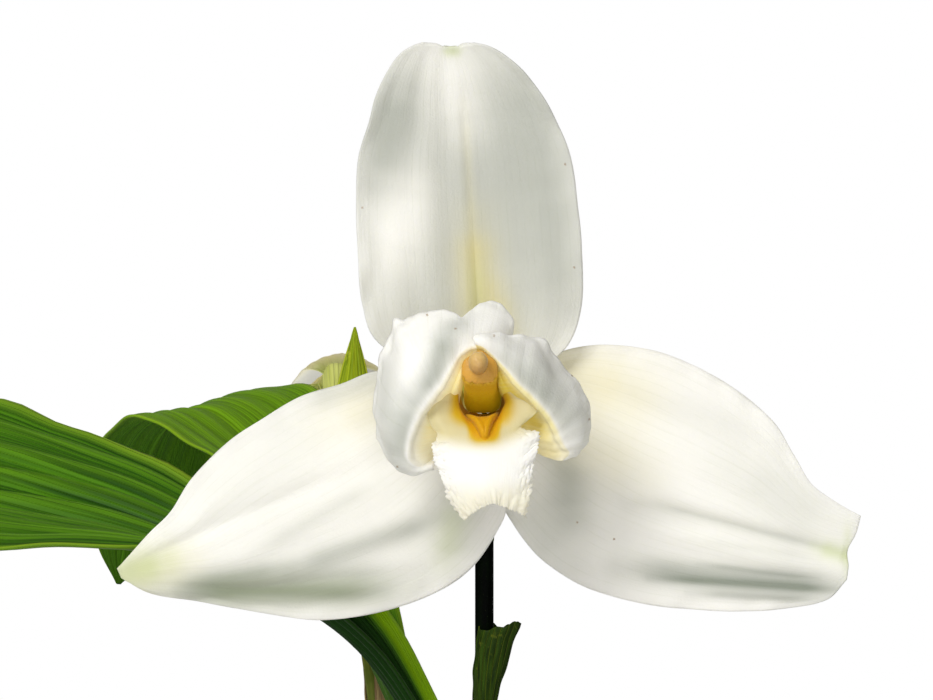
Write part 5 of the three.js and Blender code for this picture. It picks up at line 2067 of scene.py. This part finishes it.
@dataclass
class OpenFlower(Flower):
    """The open flower that faces the front."""

    sepals: tuple[Sepal, ...] = (
        Sepal(
            "front_sepal_dorsal",
            (
                (-0.9, 0.7, 0, 0.7, 1.5, 0),
                (-6.2, 3.1, 5.5, 3, 2.6, 0.6),
                (-14.2, 6.9, 12.9, 6.9, 3.2, 1),
                (-20.6, 11.3, 16.9, 11.3, 4.2, 1.4),
                (-22.9, 18.1, 18.8, 18.1, 5, 1.8),
                (-23.7, 27.2, 18.8, 27.2, 5.8, 2.2),
                (-24, 36.3, 18, 36.3, 6, 2.4),
                (-23.6, 45.3, 16.7, 45.3, 5.4, 2.6),
                (-21.5, 52.1, 14, 52.1, 4.6, 2.6),
                (-20.4, 56.6, 11.5, 56.6, 3.8, 2.4),
                (-18.3, 61.1, 8.1, 61.1, 2.6, 2),
                (-16, 64.4, 4.3, 64.4, 1.8, 1.6),
                (-13.7, 66.1, 1.3, 66.1, 1.2, 1),
                (-11.5, 66.9, -1.7, 66.9, 0.8, 0.6),
            ),
            (
                Stroke((-0.5, 11.8), (-2.1, 32.7), 0.9, -0.4),
                Stroke((-2.1, 32.7), (-4, 58.2), 0.9, -0.34),
                Stroke((-12, 26), (-13, 50), 5.0, 0.6),
                Stroke((8, 24), (6, 50), 5.0, 0.5),
            ),
            {
                # Painted shade over the whole sepal and in darker patches; the negative strokes take it away
                # again to paint lighter patches where light falls.
                Tint.PAINTED_SHADE: (
                    Stroke((-0.5, 3.3), (-4, 69.6), 22.6, 0.44),
                    Stroke((-19.9, 41.2), (-16.4, 58.2), 4.5, 0.36),
                    Stroke((-16.1, 27.9), (-13.4, 39.3), 5.3, -0.32),
                    Stroke((-6.6, 63.9), (-4, 52.2), 5.7, -0.36),
                    Stroke((9.3, 60.1), (12.3, 43.1), 6.8, 0.2),
                    Stroke((3.2, 52.5), (7, 22.3), 8.3, 0.12),
                    Stroke((13.8, 39.3), (15.7, 18.5), 5.7, 0.24),
                ),
                Tint.YELLOW: (
                    Stroke((-0.5, 9), (-1.7, 33.6), 4.1, 0.34),
                    Stroke((4.8, 9.9), (2.5, 20), 3, 0.22),
                    Stroke((-3.6, 56.3), (-1.3, 18.5), 1.1, 0.1),
                ),
                Tint.GREEN: (
                    Stroke((-0.7, 9.9), (-1.3, 26), 1.7, 0.16),
                    Stroke((-6.6, 65.6), (-5.1, 65.6), 1.1, 0.4),
                ),
            },
            ((15.6, 44.2), (17.3, 24.6), (-22.9, 36)),
            notch=1.2,
            seed=201,
        ),
        Sepal(
            "front_sepal_right",
            (
                (1.3, -0.1, 0.8, -2.3, 1.5, 0),
                (7.1, 4.4, 1.4, -10.4, 3.6, -0.8),
                (14.7, 8.6, 2.5, -17.3, 5.2, -1.5),
                (22.7, 10, 4.8, -22.6, 5.3, -1.4),
                (32.2, 9, 10.5, -30.2, 5.1, -1.2),
                (40.7, 5.8, 19.1, -35.9, 4.6, -1),
                (48.8, 1, 29.9, -39.1, 3.9, -1),
                (55.2, -4.7, 41.2, -40.3, 2.9, -1),
                (58.9, -10.9, 50.9, -40.4, 1.8, -1),
                (62.1, -16.3, 59.3, -39.5, 0.8, -0.6),
                (66.8, -19.8, 64.9, -37.9, -0.8, -0.3),
                (71, -22.2, 68.2, -34.2, -2, 0),
            ),
            (
                Stroke((28, -19), (68, -29.5), 1.6, -1.1),
                Stroke((30, -24), (66, -32.5), 2.2, 0.8),
                Stroke((30, -36), (66, -37.5), 1.5, 0.5),
            ),
            {
                # Painted shade: dark bands along the lower margin and its fold, the painted shadow that the
                # lip and petal cast beside them, and soft patches.
                Tint.PAINTED_SHADE: (
                    Stroke((25.4, -32.4), (70.9, -35.8), 2.6, 0.66),
                    Stroke((31.4, -34.3), (68.3, -36.3), 0.9, 0.5),
                    Stroke((38.9, -36.9), (65.3, -38.2), 0.8, 0.34),
                    Stroke((40.8, -31.6), (63.4, -33.9), 0.6, 0.24),
                    Stroke((29.5, -19.6), (68.1, -29.2), 1.1, 0.34),
                    Stroke((38.9, -26.7), (63.4, -30.5), 0.8, 0.14),
                    Stroke((15.7, -12.2), (16.9, -21.7), 4.5, 0.5),
                    Stroke((7, -20.9), (13.8, -30.4), 5.7, 0.28),
                    Stroke((48.7, -13.7), (65.7, -24.1), 6.4, 0.2),
                    Stroke((20.3, 3.3), (54.4, -8), 3, 0.1),
                ),
                Tint.GREEN: (
                    Stroke((63, -28.2), (71.3, -30.5), 1.7, 0.36),
                    Stroke((68.7, -23), (68.7, -36.1), 0.9, 0.16),
                ),
                Tint.YELLOW: (
                    Stroke((10.8, 7.1), (27.9, 0.5), 6.4, 0.22),
                    Stroke((14.6, -6.1), (29.8, -13.7), 5.7, 0.12),
                ),
            },
            ((17.9, -23.7), (24.9, -26.9)),
            notch=1.1,
            seed=211,
        ),
        Sepal(
            "front_sepal_left",
            (
                (-1.5, -0.1, -0.6, -2.3, 1.5, 0),
                (-10, 4.1, 2.9, -13.7, 2.4, -0.8),
                (-19.9, 5, 4.4, -20.4, 3.2, -1.5),
                (-27.1, 2.5, 3.1, -24.8, 3.4, -1.8),
                (-34.8, 0.1, -2.1, -32.4, 3.4, -2),
                (-41.9, -4.1, -9.7, -37.5, 2.8, -2),
                (-48.3, -8.4, -20.3, -40.9, 2, -2),
                (-55, -15.2, -31.2, -42.1, 1, -1.6),
                (-58.9, -21.4, -41.7, -40.6, 0, -1.2),
                (-62.7, -25.3, -53.3, -38.4, -1.2, -0.8),
                (-65.8, -28.8, -62.2, -36.8, -2.2, -0.5),
                (-68.6, -32, -67.8, -33.7, -3.2, 0),
            ),
            (
                Stroke((-26, -14), (-68, -32.5), 1.8, -0.8),
                Stroke((-26, -9), (-60, -24), 3.0, 0.6),
                Stroke((-14, -33), (-52, -37), 1.5, -0.6),
            ),
            {
                # Painted shade: dark bands along the lower margin and its folds, patches by the lip, and a
                # band along the upper margin.
                Tint.PAINTED_SHADE: (
                    Stroke((-61.1, -36.1), (-12.9, -35.1), 3.8, 0.58),
                    Stroke((-57.3, -36.8), (-18.5, -37.2), 1.7, 0.42),
                    Stroke((-36.5, -32.3), (-8.1, -22.8), 2.1, 0.42),
                    Stroke((-59.9, -36.2), (-36.4, -31.7), 1.7, 0.3),
                    Stroke((-43.1, -29.2), (-19.5, -16), 1.5, 0.2),
                    Stroke((-4, -17.5), (-5.8, -31.7), 4.9, 0.28),
                    Stroke((-10, -19.4), (-13.4, -27), 3.8, 0.14),
                    Stroke((-34.6, -0.5), (-13.8, 4.8), 3, 0.3),
                    Stroke((-55.5, -23.2), (-28.9, -2.4), 4.9, 0.08),
                ),
                # The green at the tip is the sepal's own; the strokes along the lower margin and by the lip
                # give the painted shade there a green hue.
                Tint.GREEN: (
                    Stroke((-59.7, -30.8), (-72.9, -34.6), 3.4, 0.46),
                    Stroke((-57.3, -36.4), (-15.7, -36.4), 3.4, 0.12),
                    Stroke((-4.7, -20.3), (-7.4, -30.8), 2.8, 0.2),
                ),
                Tint.YELLOW: (
                    Stroke((-8.1, 1.4), (-28.9, -4.3), 4.9, 0.14),
                    Stroke((-55.5, -30.8), (-66.8, -33.6), 3.8, 0.12),
                ),
            },
            seed=221,
        ),
    )
    petals: tuple[Petal, ...] = (
        Petal(
            "front_petal_left",
            (
                arc(18, 50, 222, 3.5, -1, 0.4),
                arc(18, 52, 225, 4.6, -7, 1.3),
                ((2.3, -15, 7.5), (1, -16, 7.3), (-0.1, -20, 7.7), (-1, -21, 7.7), (-2.3, -21.3, 7.4),
                 (-3.4, -21.5, 6.1), (-3.9, -21.4, 4.3), (-4.5, -20.4, 2.1), (-4.7, -18.6, 0.9),
                 (-4.8, -15.5, -0.4), (-5, -14, -1.7), (-5.2, -13.5, -2.6), (-5.8, -12.5, -4.7),
                 (-6.5, -12, -6.5), (-6.9, -11.5, -7.8), (-7.1, -11, -8.8), (-7.3, -11, -9.3),
                 (-7.1, -11, -9.9)),
                ((3.2, -17, 8.5), (1.7, -18.5, 8.3), (0.3, -20.8, 8.5), (-1, -21.8, 8.5),
                 (-2.5, -22.2, 8.1), (-3.7, -22.6, 6.8), (-4.6, -22.8, 4.8), (-5.7, -22.4, 2.5),
                 (-6.5, -21.7, 1.1), (-7.2, -20.2, -0.3), (-8.1, -19, -1.9), (-9, -18.5, -3.4),
                 (-10.3, -19.3, -6.3), (-11, -19.3, -8.5), (-10.9, -19, -9.8), (-10.3, -18.2, -10.5),
                 (-9.6, -17, -11), (-8.3, -15, -10.7)),
                ((3.9, -18.3, 9), (2.3, -20, 9), (0.6, -21.6, 9.2), (-1, -22.6, 9.3), (-2.6, -23.1, 8.9),
                 (-4.2, -23.5, 7.6), (-5.4, -23.8, 5.4), (-6.8, -23.7, 2.8), (-7.7, -23.4, 1.6),
                 (-8.6, -22.7, 0.2), (-9.7, -22, -1.3), (-10.6, -21.7, -2.8), (-12.1, -21.8, -5.9),
                 (-12.8, -21.3, -8.4), (-12.7, -20.6, -10.3), (-11.9, -19.8, -11.4), (-10.7, -18.8, -11.8),
                 (-8.7, -17, -11.1)),
                ((4.5, -19, 9.5), (2.6, -20.5, 9.5), (0.8, -22, 9.7), (-1, -23, 9.8), (-2.8, -23.5, 9.5),
                 (-4.6, -24, 8.2), (-6.1, -24.5, 5.8), (-7.7, -24.5, 3.1), (-8.7, -24.5, 1.9),
                 (-9.7, -24.5, 0.6), (-10.8, -24.3, -0.9), (-11.7, -24, -2.3), (-13.1, -23.5, -5.4),
                 (-13.8, -22.5, -8), (-13.9, -21.5, -10.3), (-13, -20.5, -11.7), (-11.4, -19.5, -12.3),
                 (-9, -18, -11.7)),
                ((5, -17, 11), (4.1, -17.5, 12.1), (2.5, -18.5, 13.6), (-0.3, -19.5, 13.7),
                 (-2.6, -21.5, 12.6), (-4.3, -23, 12.1), (-6.6, -23.5, 11.7), (-9.7, -24, 9.9),
                 (-11.7, -23.8, 8.6), (-13.6, -23.5, 7), (-14.8, -23.3, 4.7), (-15.7, -23, 2.3),
                 (-17, -22.5, -2.8), (-17, -21.5, -6.8), (-16.3, -20.5, -9.6), (-14.7, -20, -11.9),
                 (-12.3, -19.5, -13.1), (-9, -18.5, -12.2)),
                ((5.3, -15, 12.1), (5.1, -14, 14.5), (3.6, -13.5, 17.3), (0.7, -14, 17.9),
                 (-2.5, -17, 16.1), (-4.1, -20, 15), (-6.7, -19, 16.3), (-10.7, -17.5, 15.9),
                 (-14.4, -16, 14.7), (-16.3, -15, 14.5), (-17.2, -14.5, 11.8), (-18.6, -15, 8.4),
                 (-20, -15, 1.5), (-20, -15.5, -4.2), (-18.4, -16, -9.2), (-15.8, -17.5, -12.7),
                 (-12.9, -18.5, -13.9), (-9, -18, -12.7)),
            ),
            {
                # Painted shade along the crest and over the lower flap.
                Tint.PAINTED_SHADE: (
                    Stroke((-6.3, 12.3), (-10.5, -0.1), 2.4, 0.62),
                    Stroke((-13, -1), (-15.5, -11.3), 3.6, 0.56),
                    Stroke((-17.8, 9), (-18.1, -5.6), 2.6, 0.24),
                    Stroke((-2.5, 15.2), (-7.9, 10.8), 1.9, 0.24),
                ),
            },
            ((-10.3, 15.4), (-5.1, 12.9), (-15.7, -12.3)),
            seed=231,
        ),
        Petal(
            "front_petal_right",
            (
                arc(13, 62, -42, 3.5, -1, 0.4),
                arc(13, 62, -45, 4.6, -7, 1.3),
                ((-0.3, -21, 8.3), (1, -21, 7.5), (2.3, -21, 5.9), (2.8, -21, 4.1), (3, -20, 2.3),
                 (3.4, -18, 1), (4, -15, -0.2), (4.4, -13.5, -1.3), (5.3, -12.5, -3.5), (6.2, -12, -5.4),
                 (7.1, -12, -6.9), (8.1, -12, -8), (9, -12.5, -9.1)),
                ((-1, -22.7, 9.2), (0.4, -23, 8.3), (2.2, -23.2, 6.5), (3.3, -23.2, 4.5),
                 (4.4, -22.5, 2.5), (6.1, -21.3, 0.6), (7.8, -19, -1.4), (9.2, -17.5, -3.4),
                 (10.3, -18.4, -5.2), (11.2, -18.8, -7.1), (12, -18.5, -8.5), (12.7, -18, -9.7),
                 (11.8, -17, -10.7)),
                ((-1.3, -23.7, 9.7), (0.2, -24, 8.8), (2.2, -24.1, 6.8), (3.9, -24.2, 4.8),
                 (5.5, -24, 2.7), (7.3, -23.3, 0.9), (9.3, -22, -1.3), (11, -20.8, -3.4),
                 (12.1, -20.9, -5.2), (12.8, -20.6, -7), (13.7, -20, -8.5), (14.5, -19.4, -9.7),
                 (13.6, -18.3, -11.2)),
                ((-1.5, -24.3, 10.1), (0.2, -24.8, 9.4), (2.4, -25, 7.3), (4.4, -25, 5.1), (6.4, -25, 2.7),
                 (8.4, -24.5, 0.9), (10.4, -24, -1.2), (12, -23.2, -3.1), (13.1, -22.5, -5.1),
                 (13.9, -21.8, -6.9), (14.8, -21, -8.5), (15.6, -20, -9.6), (14.5, -18.8, -11.2)),
                ((-1.7, -24, 10.7), (-0.1, -24.3, 10.8), (2.2, -24.3, 9.9), (4.8, -24, 8.8),
                 (7.1, -23.5, 7.6), (9.5, -23, 6.5), (11.9, -22, 3.6), (14.3, -21, 0.6),
                 (16.3, -20.5, -2.3), (17.2, -20, -5), (17.4, -19.5, -7.8), (16.7, -19, -9.6),
                 (15.2, -18.6, -10.9)),
                ((-1.8, -23.5, 11.2), (-0.3, -23, 11.8), (2.3, -22, 11.9), (5.2, -20.5, 11.9),
                 (8.1, -19, 11.6), (10.5, -17, 11.1), (13.3, -16, 7.7), (16.4, -15.5, 4.2), (19, -15, 0.6),
                 (19.8, -15, -3.1), (19.2, -15.5, -7.2), (17.6, -17, -9.9), (15.8, -18, -10.5)),
            ),
            {
                # Painted shade over the flap; the yellow stroke is the petal's own colour.
                Tint.PAINTED_SHADE: (
                    Stroke((0.8, 10.1), (12.4, -2.6), 2.4, 0.3),
                    Stroke((6.6, 9), (18.3, -6.7), 4.1, 0.4),
                ),
                Tint.YELLOW: (Stroke((2.6, 6.1), (10.2, -3.7), 1.1, 0.16),),
            },
            ((1.9, 11.6), (16.3, 4.3), (19.4, -3.7)),
            crest=0.735,
            crest_warmth=0.6,
            painted_wall_glow=0.03,
            seed=241,
        ),
    )
    lip: Lip = field(default_factory=Lip)
    column: Rows = (
        (0, 2.1, 0, 3.0),
        (-0.1, -5, 0.2, 3.3),
        (-0.3, -12, 0.8, 3.3),
        (-0.5, -19, 3.2, 3.05),
        (-0.7, -24, 5.4, 3.3),
        (-0.75, -26.6, 6, 3.1),
    )
    column_steps: tuple[int, int] = (150, 80)
    anther: tuple[float, float, float] = (-1.0, -28.3, ANTHER_HEIGHT)
    ovary: Rows = (
        (0.3, 7.6, -27.5, 1.75),
        (0.2, 9.8, -18, 2.4),
        (0, 10.4, -9, 2.8),
        (0, 8.2, -1.6, 3.1),
        (0, 5.2, -0.2, 3.4),
        (0, 3.2, 0, 3.6),
    )
    bract: Rows = (
        (0, 11.8, -25, *FACE, 1.8, 1.8, 0.8),
        (0.2, 13.4, -18, *FACE, 4.6, 4.6, 2.6),
        (0.3, 14.6, -9, *FACE, 6, 6, 3.4),
        (0.4, 14.6, 1, *FACE, 4.4, 4.4, 2),
        (0.6, 13, 10, *FACE, 1, 1, 0),
    )

    def column_solid(self) -> Solid:
        """The column with its rounded hood, the hollow under it and its foot."""
        def hood(u: Array, angle: Array) -> Array:
            """Rounds the tip, squares the underside and hollows it behind the tip."""
            cos, sin = np.abs(np.cos(angle)), np.abs(np.sin(angle))
            steep = bell(angle, math.radians(52), 0.4) + bell(angle, math.radians(128), 0.4)
            square = 1 / (cos ** 3.4 + (sin * 1.12) ** 3.4) ** (1 / 3.4)
            under = ease(np.sin(angle), 0.15, -0.35)
            shape = 1 + (square - 1) * under
            ragged = 0.02 * np.sin(angle * 13) + 0.015 * np.sin(angle * 23 + 1)
            notch = 0.03 * bell(angle, 1.5 * math.pi, 0.35)
            hollow = bell(u + ragged + notch, 0.86, 0.03) * ease(np.sin(angle), -0.3, -0.75)
            return rounded_tip(u) * shape * (1 - 0.3 * hollow) * (1 - 0.13 * steep)

        return stalk(self.column, *self.column_steps, hood)

    def build(self) -> None:
        """Makes the flower's pieces."""
        for sepal in self.sepals:
            look = PetalFinish(sepal.node + "_white", specks=sepal.specks)
            show(sepal.solid().moved(FLOWER_CENTRE), sepal.node, look)
        for petal in self.petals:
            look = PetalFinish(
                petal.node + "_white",
                white=srgb(254, 253, 249),
                specks=petal.specks,
                painted_wall_glow=petal.painted_wall_glow,
            )
            show(petal.solid().moved(FLOWER_CENTRE), petal.node, look)
        show(self.lip.solid().moved(FLOWER_CENTRE), "front_lip", LipFinish("lip_skin"))
        column = ColumnFinish("column_skin")
        show(self.column_solid().moved(FLOWER_CENTRE), "front_column", column)
        cap = self.anther_solid().moved(FLOWER_CENTRE)
        show(cap, "front_anther_cap", AntherFinish("anther_skin"))
        green = BractFinish("flower_bract")
        show(self.ovary_solid().moved(FLOWER_CENTRE), "front_ovary", green)
        show(self.bract_solid().moved(FLOWER_CENTRE), "front_floral_bract", green)


def spun(stations: Rows, degrees: float) -> list[list[float]]:
    """Stations of a blade turned about the Y axis.

    Args:
        stations: Rows that start with a point and a direction.
        degrees: The turn.

    Returns:
        The turned rows.
    """
    turn = turned(math.radians(degrees), axis=1)
    rows = []
    for row in stations:
        point, face = turn @ np.array(row[:3]), turn @ np.array(row[3:6])
        rows.append([*point, *face, *row[6:]])
    return rows


@dataclass
class HalfOpenFlower(Flower):
    """The flower behind, whose sepals and petals still stand together."""

    sepal: Rows = (
        (0, 1.5, 3.4, 0, -1, -0.2, 3, 3, 0.2),
        (0, -0.8, 8.6, 0, -0.8, -0.6, 7.5, 7.5, 2.5),
        (0, -9, 13.5, 0, -0.3, -1, 11.4, 11.4, 6),
        (0, -22, 14.5, 0, 0, -1, 12, 12, 6.5),
        (0, -35, 13, 0, 0.2, -1, 9.6, 9.6, 4.4),
        (0, -45, 9.5, 0, 0.4, -1, 5, 5, 1.6),
        (0, -50, 6.5, 0, 0.5, -1, 1.5, 1.5, 0),
    )
    petal: Rows = (
        (0, 0, 3.4, 0, -1, -0.2, 2, 2, 0.2),
        (0, -3, 6.4, 0, -0.6, -0.8, 4, 4, 1),
        (0, -10, 9, 0, -0.2, -1, 6.2, 6.2, 2.2),
        (0, -21, 9.5, 0, 0, -1, 6.8, 6.8, 2.6),
        (0, -32, 7.5, 0, 0.2, -1, 4.6, 4.6, 1.4),
        (0, -39, 5.5, 0, 0.4, -1, 1.4, 1.4, 0),
    )
    lip: Rows = (
        (0, -2.4, 3, 0, -1, -0.2, 2, 2, 0),
        (0, -8, 6.4, 0, -0.3, -1, 3.6, 3.6, 1.4),
        (0, -15, 7.2, 0, 0, -1, 4.4, 4.4, 2),
        (0, -21, 6.4, 0, 0.2, -1, 4, 4, 1),
        (0, -26, 7.4, 0, -0.2, -1, 2.6, 2.6, 0),
    )
    column: Rows = (
        (0, 2.1, 0, 2.3),
        (0, -8, 0.6, 2.4),
        (0, -16, 1.5, 2.6),
        (0, -22, 2.4, 2.7),
        (0, -24.4, 2.8, 2.2),
    )
    column_steps: tuple[int, int] = (84, 36)
    tepal_steps: tuple[int, int] = (68, 46)
    anther: tuple[float, float, float] = (0.0, -26.1, 3.2)
    pitch: float = 30.0
    heading: float = 177.0
    ovary: Rows = (
        (-29.1, 58.5, 306.4, 2),
        (-29.9, 63.2, 311.4, 2.3),
        (-30.8, 68, 319.5, 2.6),
        (-31.5, 72, 328, 2.9),
        (-31.9, 76.8, 332.9, 3.1),
        (-32.1, 81.5, 331.7, 3.4),
    )
    bract: Rows = (
        (-28.2, 52.1, 305, 0, 1, -0.3, 2.6, 2.6, 1),
        (-28, 56, 315, 0, 1, -0.3, 4.4, 4.4, 2.4),
        (-27.8, 61, 324, 0, 1, -0.3, 4.8, 4.8, 2.4),
        (-27.6, 65, 334, 0, 1, -0.3, 2.9, 3.1, 1.4),
        (-27.6, 69, 344, 0, 1, -0.3, 0.12, 0.12, 0),
    )
    sepal_thickness: float = 0.9
    petal_thickness: float = 0.7
    ovary_finish: BractFinish = BractFinish(
        "back_ovary",
        deep=srgb(176, 182, 84),
        green=srgb(204, 208, 116),
        edge=srgb(222, 222, 150),
    )
    bract_finish: BractFinish = BractFinish(
        "back_bract",
        deep=srgb(106, 130, 12),
        green=srgb(168, 184, 28),
        edge=srgb(202, 204, 66),
    )

    def placed(self, solid: Solid) -> Solid:
        """A solid of the flower's own frame at its place on the plant."""
        turn = turned(math.radians(self.heading)) @ turned(math.radians(self.pitch), axis=0)
        return solid.moved(BACK_FLOWER_CENTRE, turn)

    def tepal(self, stations: Rows, degrees: float, seed: int, thickness: float) -> Solid:
        """A sepal or petal at its angle round the flower's axis.

        Args:
            stations: Its stations when it is at the top.
            degrees: Its angle.
            seed: Number that picks its unevenness.
            thickness: How thick it is.

        Returns:
            The solid in the plant's frame.
        """
        sheet = Sheet.blade(spun(stations, degrees), *self.tepal_steps)
        margin = ease(np.abs(sheet.v), 0.75, 1.0)
        sheet.push(np.cos(sheet.v * math.pi * 7) * 0.08 + ripple(sheet.points, 8.0, seed) * 0.35 * margin)
        sheet.push(-bell(sheet.v, 0.0, 0.05) * 0.3 * ease(sheet.u, 0.05, 0.2))
        sheet.tint[..., Tint.GREEN.value] = ease(sheet.u, 0.22, 0.0) * 0.6 + ease(sheet.u, 0.9, 1.0) * 0.4
        sheet.tint[..., Tint.YELLOW.value] = 0.04 + ease(sheet.u, 0.4, 0.1) * 0.16
        return self.placed(sheet.solid(thickness, rim=0.4))

    def build(self) -> None:
        """Makes the flower's pieces."""
        white = PetalFinish("back_white", white=srgb(255, 255, 252), glow=0.95)
        for i, (side, degrees) in enumerate((("dorsal", 0), ("right", 120), ("left", -120))):
            sepal = self.tepal(self.sepal, degrees, 250 + i, self.sepal_thickness)
            show(sepal, f"back_sepal_{side}", white)
        for i, (side, degrees) in enumerate((("right", 60), ("left", -60))):
            petal = self.tepal(self.petal, degrees, 260 + i, self.petal_thickness)
            show(petal, f"back_petal_{side}", white)
        lip = self.tepal(self.lip, 180, 270, self.petal_thickness)
        show(lip, "back_lip", LipFinish("lip_skin"))
        column = stalk(self.column, *self.column_steps, lambda u, angle: rounded_tip(u))
        show(self.placed(column), "back_column", ColumnFinish("column_skin"))
        cap = self.placed(self.anther_solid())
        show(cap, "back_anther_cap", AntherFinish("anther_skin"))
        show(self.ovary_solid(), "back_ovary", self.ovary_finish)
        show(self.bract_solid(), "back_floral_bract", self.bract_finish)


@dataclass
class Studio:
    """The pale floor, the soft light and the camera."""

    camera: tuple[float, float, float] = (-3.1, -630.0, 339.0)
    lens: float = 122.88
    sensor: float = 36.0
    floor_radius: float = 2200.0
    floor_sides: int = 96
    ambient: float = 0.36
    key_power: float = 15.5
    key_size: float = 0.6
    key_place: tuple[float, float, float] = (-0.62, -1.0, 1.15)
    fill_power: float = 4.0
    fill_size: float = 0.5
    fill_place: tuple[float, float, float] = (0.15, -1.3, 0.32)
    target: tuple[float, float, float] = (0.0, 0.0, 0.3)

    def build(self) -> None:
        """Makes the camera, the light, the world and the floor."""
        scene = bpy.context.scene
        scene.view_settings.view_transform = "Standard"
        lens = bpy.data.cameras.new("studio_camera")
        lens.lens, lens.sensor_width = self.lens, self.sensor
        lens.clip_start, lens.clip_end = 0.05, 20.0
        view = bpy.data.objects.new("studio_camera", lens)
        view.location = tuple(part * MM for part in self.camera)
        view.rotation_euler = (math.pi / 2, 0, 0)
        scene.collection.objects.link(view)
        scene.camera = view
        self.light("studio_key", self.key_place, self.key_size, self.key_power)
        self.light("studio_fill", self.fill_place, self.fill_size, self.fill_power)
        self.world()
        self.floor()

    def light(self, name: str, place: tuple[float, float, float], size: float, power: float) -> None:
        """A large soft light that looks at the object.

        Args:
            name: Its name.
            place: Where it stands, in metres.
            size: How wide it is, in metres.
            power: Its power in watts.
        """
        lamp = bpy.data.lights.new(name, "AREA")
        lamp.shape, lamp.size, lamp.energy = "DISK", size, power
        light = bpy.data.objects.new(name, lamp)
        light.location = place
        aim = unit(np.array(self.target) - np.array(place))
        level = math.hypot(aim[0], aim[1])
        light.rotation_euler = (math.atan2(level, -aim[2]), 0, math.atan2(aim[1], aim[0]) - math.pi / 2)
        bpy.context.scene.collection.objects.link(light)

    def world(self) -> None:
        """White behind the object, and an even soft light from all round."""
        world = bpy.data.worlds.new("studio_world")
        world.use_nodes = True
        tree = Tree(world.node_tree)
        lit, seen = (
            tree.node("ShaderNodeBackground", {}, {"Color": (1, 1, 1, 1), "Strength": strength}).outputs[0]
            for strength in (self.ambient, 1.0)
        )
        ray = tree.node("ShaderNodeLightPath").outputs["Is Camera Ray"]
        both = tree.node("ShaderNodeMixShader", {}, {0: ray, 1: lit, 2: seen}).outputs[0]
        tree.node("ShaderNodeOutputWorld", {}, {"Surface": both})
        bpy.context.scene.world = world

    def floor(self) -> None:
        """A round pale floor under the pot."""
        sides = self.floor_sides
        angles = ring_angles(sides)
        rim = np.column_stack([np.cos(angles), np.sin(angles), 0 * angles]) * self.floor_radius
        points = np.vstack([rim, [[0.0, 0.0, 0.0]]])
        faces = [(sides, j, (j + 1) % sides) for j in range(sides)]
        disc = Solid(points, faces, np.zeros_like(points), np.zeros_like(points))
        disc.to_object("studio_floor", FloorFinish("studio_pale"))


def main() -> None:
    """Builds the object's sub-assemblies in order."""
    logging.basicConfig(level=logging.INFO, format="%(message)s")
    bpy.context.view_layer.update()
    Studio().build()
    pot = Pot()
    for assembly in (pot, BarkBed(pot), Bulbs(), Leaves(), Stems(), OpenFlower(), HalfOpenFlower()):
        assembly.build()


if __name__ == "__main__":
    main()
